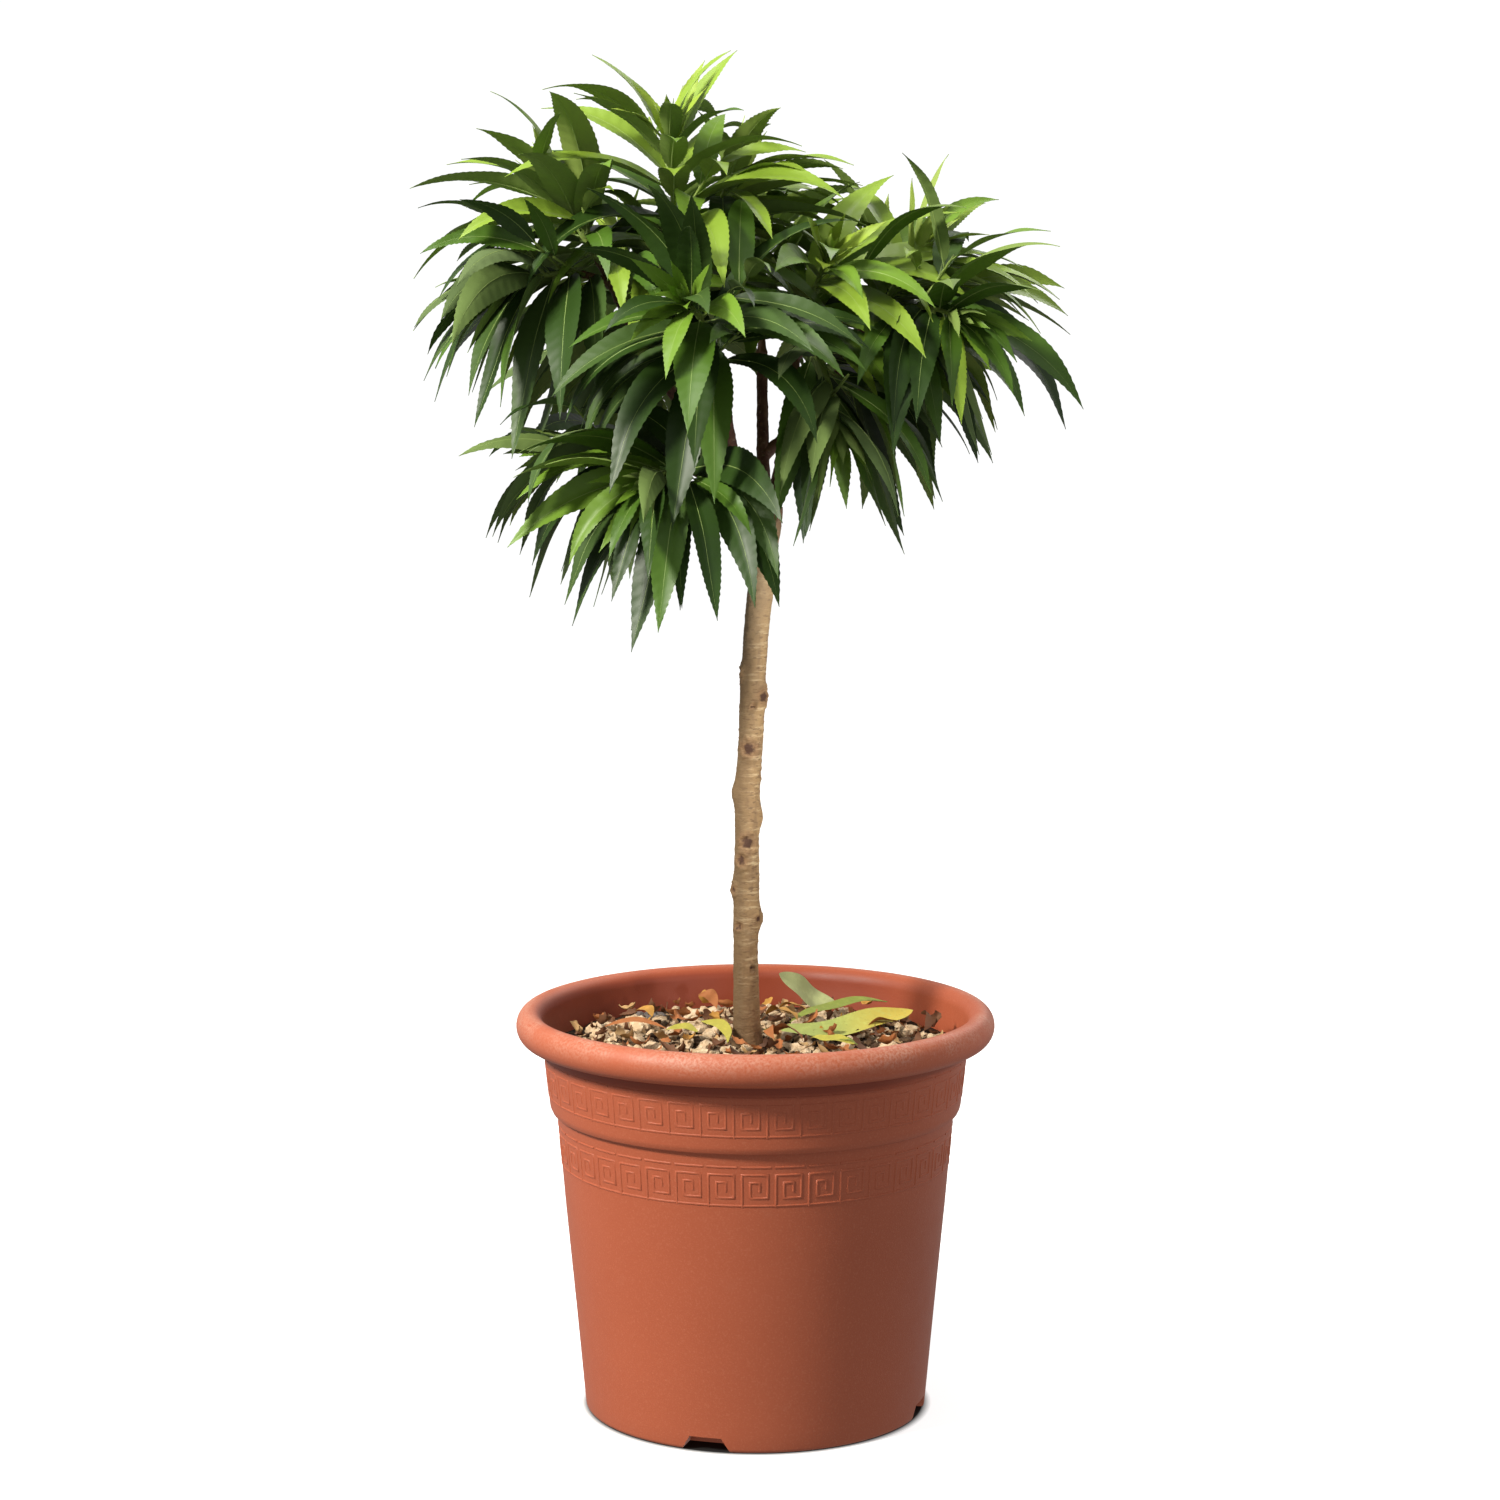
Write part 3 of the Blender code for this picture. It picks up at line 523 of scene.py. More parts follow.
class Nodes:
    """Builds one node material, with noise, mixes and bumps laid over a Principled shader."""

    def __init__(self, name, colour, roughness, specular):
        self.material = bpy.data.materials.new(name)
        self.material.use_nodes = True
        self.tree = self.material.node_tree
        self.shader = self.tree.nodes["Principled BSDF"]
        self.colour = (*colour, 1.0)
        self.fill(self.shader, {"Base Color": self.colour, "Roughness": roughness})
        self.fill(self.shader, {"Specular IOR Level": specular})
        self.bumped = None
        self.place = None

    def fill(self, node, inputs):
        """Sets a node's sockets to values, or joins other nodes' outputs to them."""
        for socket, value in inputs.items():
            if isinstance(value, bpy.types.NodeSocket):
                self.tree.links.new(value, node.inputs[socket])
            else:
                node.inputs[socket].default_value = value

    def add(self, kind, output, inputs, **settings):
        """Makes a node and gives one of its outputs."""
        node = self.tree.nodes.new(kind)
        for setting, value in settings.items():
            setattr(node, setting, value)
        self.fill(node, inputs)
        return node.outputs[output]

    def coordinates(self):
        if self.place is None:
            self.place = self.add("ShaderNodeTexCoord", "Object", {})
        return self.place

    def noise(self, scale, detail, rough, sharpen=None, stretch=None):
        """Noise from 0 to 1, optionally pushed apart between two values and stretched along the axes."""
        place = self.coordinates()
        if stretch is not None:
            place = self.add("ShaderNodeMapping", "Vector", {"Vector": place, "Scale": stretch})
        inputs = {"Vector": place, "Scale": scale, "Detail": detail, "Roughness": rough}
        output = self.add("ShaderNodeTexNoise", "Fac", inputs)
        return self.ramp(output, *sharpen) if sharpen else output

    def ramp(self, source, low, high):
        return self.add("ShaderNodeMapRange", "Result", {"Value": source, "From Min": low, "From Max": high})

    def along(self, axis, low, high, source=None):
        """From 0 at one place along an axis to 1 at another."""
        source = source or self.coordinates()
        return self.ramp(self.add("ShaderNodeSeparateXYZ", axis, {"Vector": source}), low, high)

    def facing(self, low, high):
        """0 to 1 with how far the surface turns from one side of the world to the other, along X."""
        return self.along("X", low, high, self.add("ShaderNodeNewGeometry", "Normal", {}))

    def vector(self, operation, *sources, output="Vector"):
        return self.add("ShaderNodeVectorMath", output, dict(enumerate(sources)), operation=operation)

    def ragged(self, scale, reach):
        """The place, moved about by noise."""
        place = self.coordinates()
        colours = self.add("ShaderNodeTexNoise", "Color", {"Vector": place, "Scale": scale})
        shifted = self.vector("MULTIPLY_ADD", colours, (reach,) * 3, place)
        return self.vector("SUBTRACT", shifted, (reach / 2,) * 3)

    def within(self, centre, outer, inner, flat=False, source=None):
        """From 0 at one distance from a place, or with flat from the upright axis, to 1 at a smaller one."""
        source = source or self.coordinates()
        if flat:
            source = self.vector("MULTIPLY", source, (1.0, 1.0, 0.0))
        return self.ramp(self.vector("DISTANCE", source, centre, output="Value"), outer, inner)

    def times(self, product, *parts):
        for part in parts:
            product = self.add("ShaderNodeMath", "Value", {0: product, 1: part}, operation="MULTIPLY")
        return product

    def tint(self, share, colour):
        """Mixes a colour over what is there, by a share from 0 to 1."""
        inputs = {"Factor": share, MIX_UNDER: self.colour, MIX_OVER: (*colour, 1.0)}
        self.colour = self.add("ShaderNodeMix", MIX_RESULT, inputs, data_type="RGBA")
        self.fill(self.shader, {"Base Color": self.colour})

    def bump(self, source, strength, distance):
        inputs = {"Strength": strength, "Distance": distance, "Height": source}
        if self.bumped is not None:
            inputs["Normal"] = self.bumped
        self.bumped = self.add("ShaderNodeBump", "Normal", inputs)
        self.fill(self.shader, {"Normal": self.bumped})

    def rough(self, source, low, high):
        rough = self.add("ShaderNodeMapRange", "Result", {"Value": source, "To Min": low, "To Max": high})
        self.fill(self.shader, {"Roughness": rough})

    def weather(self, patches, bumps, finish=None):
        """Lays noise over the material. Each patch has its strength and colour, each bump its strength and
        height, and the finish its least and greatest roughness. What follows is the noise's own."""
        for strength, colour, *grain in patches:
            self.tint(self.times(self.noise(*grain), strength), colour)
        for strength, height, *grain in bumps:
            self.bump(self.noise(*grain), strength, height)
        if finish is not None:
            low, high, *grain = finish
            self.rough(self.noise(*grain), low, high)
        return self.material


def pot_material():
    """Terracotta-coloured plastic, stained and darkened with painted shade inside, and dusty and paler with a
    painted sheen on the shoulder of its rim.
    """
    made = Nodes("terracotta_plastic", (0.385, 0.09, 0.039), 0.48, 0.34)
    made.weather(
        patches=(
            (1.0, (0.418, 0.101, 0.045), 7.0, 3.0, 0.5, (0.35, 0.75)),
            (0.32, (0.56, 0.2, 0.11), 900.0, 2.0, 0.5, (0.52, 0.8)),
            (0.13, (0.52, 0.26, 0.17), 34.0, 6.0, 0.7, (0.62, 0.82)),
        ),
        bumps=((0.32, 0.0004, 1500.0, 2.0, 0.5), (0.12, 0.0006, 46.0, 3.0, 0.5)),
        finish=(0.4, 0.58, 60.0, 4.0, 0.6),
    )
    # The inside of the wall above the soil: a stain, darkened further towards the left as painted shade
    inside = made.within(ORIGIN, STAIN_AND_SHADE_REACH[1], STAIN_AND_SHADE_REACH[0], flat=True)
    above = made.along("Z", SOIL_TOP - STAIN_AND_SHADE_SPAN, SOIL_TOP)
    below = made.along("Z", *STAIN_AND_SHADE_TOP)
    made.tint(made.times(inside, above, below, made.along("X", *PAINTED_SHADE_SIDE), STAIN_AND_SHADE_STRENGTH), STAIN_AND_SHADE_COLOUR)
    # The top of the rim's outer lip: pale dust in patches, which also stands as a painted sheen where light
    # catches the rim
    outside = made.within(ORIGIN, *DUST_AND_SHEEN_REACH, flat=True)
    broad = made.noise(26.0, 4.0, 0.6, (0.3, 0.66))
    fine = made.noise(620.0, 3.0, 0.6, (0.36, 0.62))
    dust_and_sheen = made.times(made.along("Z", *DUST_AND_SHEEN_HEIGHTS), outside, broad, fine, DUST_AND_SHEEN_STRENGTH)
    made.tint(dust_and_sheen, DUST_AND_SHEEN_COLOUR)
    return made.material


def bark_material():
    """Pale ringed bark, with painted shade on its left side and painted light towards its top, darker at its
    foot, at its fork and in the scars of cut twigs.
    """
    made = Nodes("trunk_bark", (0.315, 0.2, 0.09), 0.74, 0.28)
    made.weather(
        patches=(
            (1.0, (0.262, 0.16, 0.072), 70.0, 4.0, 0.6, (0.36, 0.7)),
            (0.7, (0.175, 0.104, 0.052), 260.0, 4.0, 0.6, (0.48, 0.7), (1.0, 1.0, 0.2)),
            (0.8, (0.56, 0.42, 0.235), 60.0, 5.0, 0.7, (0.52, 0.66), (1.0, 1.0, 7.0)),
            (0.72, (0.12, 0.066, 0.034), 230.0, 2.0, 0.5, (0.58, 0.66), (1.0, 1.0, 3.5)),
        ),
        bumps=((0.7, 0.0008, 420.0, 4.0, 0.6, None, (1.0, 1.0, 2.0)),),
        finish=(0.6, 0.84, 80.0, 3.0, 0.5),
    )
    foot, painted_light_top, fork = (made.along("Z", *heights) for heights in BARK_HEIGHTS)
    made.tint(made.times(foot, 0.62), (0.19, 0.088, 0.038))
    # Painted shade: the left side of the trunk is darkened where the shade falls
    made.tint(made.times(made.facing(*BARK_PAINTED_SHADE), 0.8), (0.118, 0.074, 0.036))
    # Painted light: the top of the trunk is paled against the shadow of the crown
    made.tint(made.times(painted_light_top, 0.35), (0.56, 0.4, 0.225))
    made.tint(made.times(fork, 0.85), (0.1, 0.04, 0.024))
    ragged = made.ragged(330.0, 0.005)
    for height, azimuth, size in SCARS:
        for outer, inner, strength, colour in SCAR_TINTS:
            near = made.within(scar_place(height, azimuth), size * outer, size * inner, source=ragged)
            made.tint(made.times(near, strength), colour)
    return made.material


def scar_place(height, azimuth):
    place = heading(azimuth) * between(TRUNK_RADII, height)
    return (between(TRUNK_LEAN, height) + place.x, place.y, height)


def bough_material():
    return Nodes("young_bark", (0.115, 0.042, 0.026), 0.56, 0.45).weather(
        patches=(
            (1.0, (0.23, 0.12, 0.066), 120.0, 4.0, 0.6, (0.42, 0.7)),
            (0.6, (0.33, 0.24, 0.16), 420.0, 2.0, 0.5, (0.62, 0.72)),
        ),
        bumps=((0.45, 0.0005, 520.0, 3.0, 0.6),),
        finish=(0.5, 0.74, 110.0, 3.0, 0.5),
    )


def soil_material():
    return Nodes("planting_mix", (0.018, 0.009, 0.004), 0.94, 0.2).weather(
        patches=(
            (1.0, (0.058, 0.031, 0.014), 160.0, 5.0, 0.7, (0.45, 0.72)),
            (0.8, (0.2, 0.12, 0.058), 520.0, 3.0, 0.6, (0.6, 0.74)),
        ),
        bumps=((0.9, 0.0022, 330.0, 5.0, 0.7),),
    )


def stone_material(name, colour, pale, dark):
    return Nodes(name, colour, 0.88, 0.3).weather(
        patches=(
            (1.0, pale, 190.0, 4.0, 0.6, (0.45, 0.68)),
            (0.8, dark, 560.0, 3.0, 0.6, (0.58, 0.7)),
        ),
        bumps=((0.8, 0.0011, 640.0, 4.0, 0.65),),
    )


def floor_material():
    """Pale and evenly lit, with a painted shadow and no glow under the pot, where no light reaches."""
    made = Nodes("pale_floor", FLOOR_COLOUR, 0.9, 0.1)
    # Painted shadow: the floor under the pot is darkened, and its glow is taken away below
    made.tint(made.within(ORIGIN, *FLOOR_SHADE, flat=True), FLOOR_PAINTED_SHADOW)
    glow = made.times(made.within(ORIGIN, FLOOR_SHADE[1], FLOOR_SHADE[0], flat=True), FLOOR_GLOW)
    made.fill(made.shader, {"Emission Strength": glow, "Emission Color": WHITE})
    return made.material


def backdrop_material():
    made = Nodes("pale_backdrop", (0.0, 0.0, 0.0), 1.0, 0.0)
    made.fill(made.shader, {"Emission Strength": BACKDROP_GLOW, "Emission Color": WHITE})
    return made.material


def fallen_material(name, colour):
    """A fallen leaf, mottled. The crescent-shaped one has turned yellow towards its broad end."""
    made = Nodes(name, colour, 0.7, 0.25)
    if name == "fallen_crescent":
        made.tint(made.along("X", *CRESCENT_YELLOW), CRESCENT_COLOUR)
    paler = [min(1.0, part * 1.5) for part in colour]
    darker = [part * 0.45 for part in colour]
    return made.weather(
        patches=(
            (0.5, paler, 220.0, 3.0, 0.6, (0.5, 0.75)),
            (0.35, darker, 340.0, 4.0, 0.6, (0.58, 0.74)),
        ),
        bumps=((0.4, 0.0005, 700.0, 3.0, 0.6),),
    )


def plain(name, colour, roughness, specular):
    return Nodes(name, colour, roughness, specular).material


# Camera, light and floor


def place_lamp(name, kind, place, aim, **settings):
    """A lamp at its place, turned to its aim."""
    lamp = bpy.data.lights.new(name, kind)
    for setting, value in settings.items():
        setattr(lamp, setting, value)
    light = bpy.data.objects.new(name, lamp)
    light.location = place
    light.rotation_euler = (Vector(aim) - Vector(place)).to_track_quat("-Z", "Y").to_euler()
    bpy.context.scene.collection.objects.link(light)


def make_stage():
    scene = bpy.context.scene
    camera = bpy.data.objects.new("camera", bpy.data.cameras.new("camera"))
    camera.data.lens = CAMERA_LENS
    camera.location = CAMERA_PLACE
    camera.rotation_euler = (math.pi / 2 - CAMERA_PITCH, 0.0, 0.0)
    scene.collection.objects.link(camera)
    scene.camera = camera
    for name, place, aim, width, watts, colour in LIGHTS:
        place_lamp(name, "AREA", place, aim, shape="DISK", size=width, energy=watts, color=colour)
    spot = {"spot_blend": SPOT_BLEND, "shadow_soft_size": SPOT_RADIUS}
    for name, place, aim, watts, cone in SPOTS:
        place_lamp(name, "SPOT", place, aim, energy=watts, spot_size=math.radians(cone), **spot)
    scene.world = soft_sky()
    scene.view_settings.view_transform = "Standard"
    half = FLOOR_SIZE / 2
    corners = [(x, y, FLOOR_LEVEL) for x, y in ((-half, -half), (half, -half), (half, half), (-half, half))]
    stage_piece("floor", corners, [(0, 1, 2, 3)], floor_material())
    corners, faces = ball(3)
    corners = [corner * BACKDROP_RADIUS for corner in corners]
    stage_piece("backdrop", corners, faces[:, ::-1].tolist(), backdrop_material())


def stage_piece(name, corners, faces, material):
    """A piece of the studio. It lights nothing by bouncing, so the sky alone sets the soft light."""
    mesh = bpy.data.meshes.new(name)
    mesh.from_pydata(corners, [], faces)
    mesh.materials.append(material)
    piece = bpy.data.objects.new(name, mesh)
    piece.visible_diffuse = False
    piece.visible_glossy = False
    piece.visible_shadow = False
    bpy.context.scene.collection.objects.link(piece)


def soft_sky():
    """Soft light from all round, strongest from above."""
    world = bpy.data.worlds.new("soft_studio")
    world.use_nodes = True
    nodes = world.node_tree.nodes
    place = nodes.new("ShaderNodeTexCoord")
    split = nodes.new("ShaderNodeSeparateXYZ")
    lift = nodes.new("ShaderNodeMapRange")
    lift.inputs["From Min"].default_value = -1.0
    ramp = nodes.new("ShaderNodeValToRGB")
    ramp.color_ramp.elements.new(0.5)
    for element, level in zip(ramp.color_ramp.elements, (SKY_FOOT, SKY_LEVEL, SKY_TOP)):
        element.color = (level, level, level, 1.0)
    for output, socket in (
        (place.outputs["Generated"], split.inputs["Vector"]),
        (split.outputs["Z"], lift.inputs["Value"]),
        (lift.outputs["Result"], ramp.inputs["Fac"]),
        (ramp.outputs["Color"], nodes["Background"].inputs["Color"]),
    ):
        world.node_tree.links.new(output, socket)
    return world


# Pot


def wall_radius(height):
    return between(WALL_OUTLINE + COLLAR_OUTLINE, height)


def rounded(points, reaches, steps=4):
    """The outline with each inner corner replaced by a small curve."""
    points = [Vector(point) for point in points]
    smooth = [points[0]]
    for before, corner, after, reach in zip(points, points[1:], points[2:], reaches):
        reach = min(reach, (before - corner).length * 0.45, (after - corner).length * 0.45)
        first = corner + (before - corner).normalized() * reach
        last = corner + (after - corner).normalized() * reach
        for step in range(steps + 1):
            t = step / steps
            smooth.append(first * (1 - t) ** 2 + corner * 2 * t * (1 - t) + last * t * t)
    return smooth + [points[-1]]


def split_long(points, longest):
    """The outline with its long stretches divided."""
    fine = [points[0]]
    for before, after in zip(points, points[1:]):
        parts = max(1, math.ceil((after - before).length / longest))
        fine += [before.lerp(after, part / parts) for part in range(1, parts + 1)]
    return fine


def rim_outline():
    """The rolled rim, from under its lip over the top to its inner edge."""
    points = []
    for step in range(RIM_STEPS + 1):
        angle = math.radians(RIM_START + (RIM_END - RIM_START) * step / RIM_STEPS)
        radius = RIM_RADIUS + RIM_HALF_WIDTH * math.cos(angle)
        points.append((radius, RIM_HEIGHT + RIM_HALF_HEIGHT * math.sin(angle)))
    return points


def inner_outline():
    heights = [height for height, _ in WALL_OUTLINE[1:] + COLLAR_OUTLINE[1:2]]
    heights = [POT_FLOOR] + heights + [SOIL_TOP]
    return [(wall_radius(height) - POT_WALL, height) for height in heights]


def turned(profile, sides):
    """Points and triangles of a solid turned about Z."""
    angles = math.tau * np.arange(sides) / sides
    radii = np.array([point[0] for point in profile])[:, None]
    heights = np.array([point[1] for point in profile])[:, None]
    points = np.stack([radii * np.cos(angles), radii * np.sin(angles), heights + 0 * angles], -1)
    return points.reshape(-1, 3), tube_faces(len(profile), sides)


def notch_cutter(azimuth):
    """A trapezoidal notch through the foot of the wall, wider at the ground."""
    corners = []
    for radius in (wall_radius(0.0) - NOTCH_DEPTH, wall_radius(0.0) + NOTCH_DEPTH):
        for across, height in ((-0.5, -1.0), (0.5, -1.0), (0.5, 0.0), (0.5, 1.0), (-0.5, 1.0), (-0.5, 0.0)):
            width = NOTCH_TOP_WIDTH if height > 0 else NOTCH_FOOT_WIDTH
            corners.append((radius, across * width, height * NOTCH_HEIGHT))
    mesh = bpy.data.meshes.new("notch_cutter")
    mesh.from_pydata(corners, [], tube_faces(2, 6).tolist())
    mesh.transform(Matrix.Rotation(math.radians(azimuth), 4, "Z"))
    cutter = bpy.data.objects.new("notch_cutter", mesh)
    bpy.context.scene.collection.objects.link(cutter)
    return cutter


def cut(made, cutters):
    for cutter in cutters:
        boolean = made.modifiers.new("cut", "BOOLEAN")
        boolean.operation = "DIFFERENCE"
        boolean.solver = "EXACT"
        boolean.object = cutter
    bpy.context.view_layer.update()
    graph = bpy.context.evaluated_depsgraph_get()
    mesh = bpy.data.meshes.new_from_object(made.evaluated_get(graph))
    made.modifiers.clear()
    made.data = mesh
    for cutter in cutters:
        bpy.data.objects.remove(cutter)


def raised_line(pile, line, foot, circumference_radius):
    """A raised bar along a line of (distance round, height) points, mitred at its right-angled corners."""
    fine = split_long([Vector(point) for point in line], KEY_STEP)
    first = (fine[1] - fine[0]).normalized() * KEY_HALF_WIDTH
    last = (fine[-1] - fine[-2]).normalized() * KEY_HALF_WIDTH
    fine[0] = fine[0] - first
    fine[-1] = fine[-1] + last
    rows = []
    for number, point in enumerate(fine):
        ahead = fine[min(number + 1, len(fine) - 1)] - point
        behind = point - fine[max(number - 1, 0)]
        ahead = ahead.normalized() if ahead.length > 0 else behind.normalized()
        behind = behind.normalized() if behind.length > 0 else ahead
        left = Vector((-ahead.y - behind.y, ahead.x + behind.x))
        left = left / max(left.length_squared / 2.0, 0.5)
        for offset, rise in KEY_SECTION:
            place = point + left * offset
            height = foot + place.y
            angle = place.x / circumference_radius
            radius = wall_radius(height) + rise
            rows.append((radius * math.cos(angle), radius * math.sin(angle), height))
    pile.add(np.array(rows), tube_faces(len(fine), len(KEY_SECTION)))


def make_key_band(pile, foot, units):
    """One band: a foot line all the way round, and over it a row of square spirals with a dash above each."""
    radius = wall_radius(foot)
    pitch = math.tau * radius / units
    for unit in range(units):
        start = unit * pitch
        raised_line(pile, [(start, 0.0), (start + pitch * 0.5, 0.0), (start + pitch, 0.0)], foot, radius)
        for line in (KEY_SPIRAL, KEY_DASH):
            places = [(start + share * pitch, level * KEY_LEVEL) for share, level in line]
            raised_line(pile, places, foot, radius)


def make_pot(material):
    foot = [(wall_radius(0.0) - FOOT_ROUNDING * 3, 0.0), (wall_radius(0.0), 0.0)]
    wall = [(radius, height) for height, radius in WALL_OUTLINE[1:] + COLLAR_OUTLINE[:-1]]
    rim = rim_outline()
    reaches = [FOOT_ROUNDING] * len(WALL_OUTLINE) + [CREASE_ROUNDING, COLLAR_ROUNDING, COLLAR_ROUNDING]
    reaches[len(WALL_OUTLINE) - 1] = COLLAR_ROUNDING
    outline = rounded(foot + wall + [rim[0]], reaches)
    outline += [Vector(point) for point in rim[1:]]
    outline += [Vector(point) for point in reversed(inner_outline())]
    outline = split_long(outline, POT_LONGEST_SIDE)
    pot = dress("pot_shell", turned(outline, POT_SIDES), material, ("pot",))
    cut(pot, [notch_cutter(NOTCH_AZIMUTH + 360.0 * i / NOTCH_COUNT) for i in range(NOTCH_COUNT)])
    pot.data.shade_smooth()
    pot.data.set_sharp_from_angle(angle=math.radians(POT_SHARP_ABOVE))
    pile = Pile()
    for foot_height, units in KEY_BANDS:
        make_key_band(pile, foot_height, units)
    dress("pot_key_bands", pile.shape(), material, sharp_above=75.0)


# Soil and litter


def soil_height(x, y):
    """The uneven top of the soil, a little higher towards the trunk and the wall."""
    place = Vector((x, y, 0.0))
    rough = noise.noise(place * 70.0) + 0.6 * noise.noise(place * 190.0) + 0.35 * noise.noise(place * 480.0)
    return SOIL_TOP - 0.0005 + SOIL_ROUGHNESS * rough


def make_soil(material):
    """The mix down to the pot's floor, with a fine net of rings over its top."""
    outline = [(radius - CLEARANCE, height) for radius, height in inner_outline()]
    outline[0] = (outline[0][0], POT_FLOOR + CLEARANCE)
    outer, top = outline.pop()
    rings = [(outer * (1.0 - ring / (SOIL_RINGS - 0.5)), top) for ring in range(SOIL_RINGS)]
    points, faces = turned(outline + rings, SOIL_SIDES)
    for point in points[len(outline) * SOIL_SIDES:]:
        point[2] = soil_height(point[0], point[1])
    dress("soil_surface", (points, faces), material, ("soil",))


def ball(subdivisions):
    """Points and triangles of a ball of radius 1 made from an even net."""
    golden = (1.0 + math.sqrt(5.0)) / 2.0
    points = []
    for a, b in ((-1, golden), (1, golden), (-1, -golden), (1, -golden)):
        points += [(a, b, 0.0), (0.0, a, b), (b, 0.0, a)]
    points = [Vector(point).normalized() for point in points]
    edge = min((points[0] - other).length for other in points[1:]) * 1.05
    faces = []
    for i in range(12):
        for j in range(i + 1, 12):
            for k in range(j + 1, 12):
                trio = (points[i], points[j], points[k])
                if all((trio[m] - trio[m - 1]).length < edge for m in range(3)):
                    outward = (trio[1] - trio[0]).cross(trio[2] - trio[0]).dot(trio[0]) > 0
                    faces.append((i, j, k) if outward else (i, k, j))
    for _ in range(subdivisions):
        middles = {}
        finer = []
        for face in faces:
            between_points = []
            for m in range(3):
                pair = tuple(sorted((face[m], face[(m + 1) % 3])))
                if pair not in middles:
                    middles[pair] = len(points)
                    points.append(((points[pair[0]] + points[pair[1]]) / 2).normalized())
                between_points.append(middles[pair])
            ab, bc, ca = between_points
            a, b, c = face
            finer += [(a, ab, ca), (ab, b, bc), (ca, bc, c), (ab, bc, ca)]
        faces = finer
    return points, np.array(faces)


def stone(form, centre, radius, angularity, chance):
    """A lump with a few broken flats and pits."""
    stretch = [chance.uniform(*limits) for limits in STONE_STRETCH]
    turn = Matrix.Rotation(chance.uniform(0, math.tau), 3, "Z")
    turn = turn @ Matrix.Rotation(chance.gauss(0, 0.4), 3, "X")
    shift = Vector([chance.uniform(0, 90) for _ in range(3)])
    flats = [Vector([chance.gauss(0, 1) for _ in range(3)]).normalized() for _ in range(STONE_FLATS)]
    points = []
    for direction in form:
        length = 1.0 + angularity * noise.noise(direction * 1.7 + shift)
        length += 0.4 * angularity * noise.noise(direction * 4.5 + shift)
        for flat in flats:
            facing = direction.dot(flat)
            if facing > 0.0:
                length = min(length, FLAT_DEPTH / max(facing, 0.05))
        place = Vector([direction[i] * stretch[i] for i in range(3)]) * length * radius
        points.append(centre + turn @ place)
    return np.array(points)


def scatter(chance, count, sizes, taken):
    """Places in the pot, apart from each other and from the trunk."""
    places = []
    for _ in range(count * SCATTER_TRIES):
        if len(places) == count:
            break
        distance = LITTER_REACH * math.sqrt(chance.random())
        angle = chance.uniform(0, math.tau)
        x = distance * math.cos(angle)
        y = distance * math.sin(angle)
        radius = chance.uniform(*sizes)
        if math.hypot(x - TRUNK_LEAN[0][1], y) < STONE_CLEARANCE + radius * 0.6:
            continue
        if all(math.hypot(x - other[0], y - other[1]) > CROWDING * (radius + other[2]) for other in taken):
            places.append((x, y, radius))
            taken.append((x, y, radius))
    return places


def stone_places():
    """The marked stones, then those of a spiral that keep clear of them and of the trunk."""
    places = list(STONES)
    for number in range(SPIRAL_STONES):
        distance = SPIRAL_REACH * math.sqrt((number + 0.5) / SPIRAL_STONES)
        x = distance * math.cos(number * SPIRAL_TURN)
        y = distance * math.sin(number * SPIRAL_TURN)
        from_trunk = math.hypot(x - TRUNK_LEAN[0][1], y)
        apart = min(math.hypot(x - stone[0], y - stone[1]) for stone in places)
        if apart > STONE_SPACING and from_trunk > STONE_CLEARANCE + SPIRAL_RADIUS:
            places.append((x, y, SPIRAL_RADIUS))
    return places


def heap(x, y, radius, chance):
    """The stones that lie in place of one large lump: one on top, and the others round its foot."""
    height = soil_height(x, y)
    places = [(x, y, height + radius * 0.3, radius * HEAP_TOP)]
    start = chance.uniform(0.0, math.tau)
    for number in range(1, HEAP_STONES):
        angle = start + math.tau * number / (HEAP_STONES - 1) + chance.uniform(-0.4, 0.4)
        reach = radius * HEAP_SPREAD
        size = radius * chance.uniform(*HEAP_FOOT)
        places.append((x + reach * math.cos(angle), y + reach * math.sin(angle), height + size * 0.3, size))
    return places


def make_stones(materials):
    coarse = ball(1)
    fine = ball(2)
    lumps = stone_places()
    taken = list(lumps)
    for name, count, least, greatest, angularity, seed in STONE_SORTS:
        chance = random.Random(seed)
        pile = Pile()
        form, faces = coarse if greatest < SMALL_STONE else fine
        places = []
        for number, (x, y, radius) in enumerate(lumps):
            if name == ("slate" if number in SLATE_LUMPS else "pumice"):
                places += heap(x, y, radius, chance)
        for x, y, radius in scatter(chance, count, (least, greatest), [] if name == "crumbs" else taken):
            places.append((x, y, soil_height(x, y) + radius * chance.uniform(0.1, 0.5), radius))
        for x, y, z, radius in places:
            pile.add(stone(form, Vector((x, y, z)), radius, angularity * 1.6, chance), faces)
        dress(name, pile.shape(), materials[name], sharp_above=38.0)


def lens(line, sides, normals, widths, fold, thickness):
    """A closed thin blade: a top and an underside that meet along its edges."""
    across = np.linspace(-1.0, 1.0, LENS_COLUMNS)
    top = line[:, None] + sides[:, None] * (across[None, :, None] * widths[:, None, None])
    lift = np.abs(across)[None, :] * widths[:, None] * fold[:, None]
    thick = thickness * (1.0 - across ** 2)[None, :] * np.ones_like(lift)
    under = top + normals[:, None] * (lift - thick)[..., None]
    top = top + normals[:, None] * (lift + thick)[..., None]
    faces = grid_faces(len(line), LENS_COLUMNS)
    points = np.concatenate([top.reshape(-1, 3), under.reshape(-1, 3)])
    return points, np.concatenate([faces, faces[:, ::-1] + len(line) * LENS_COLUMNS])


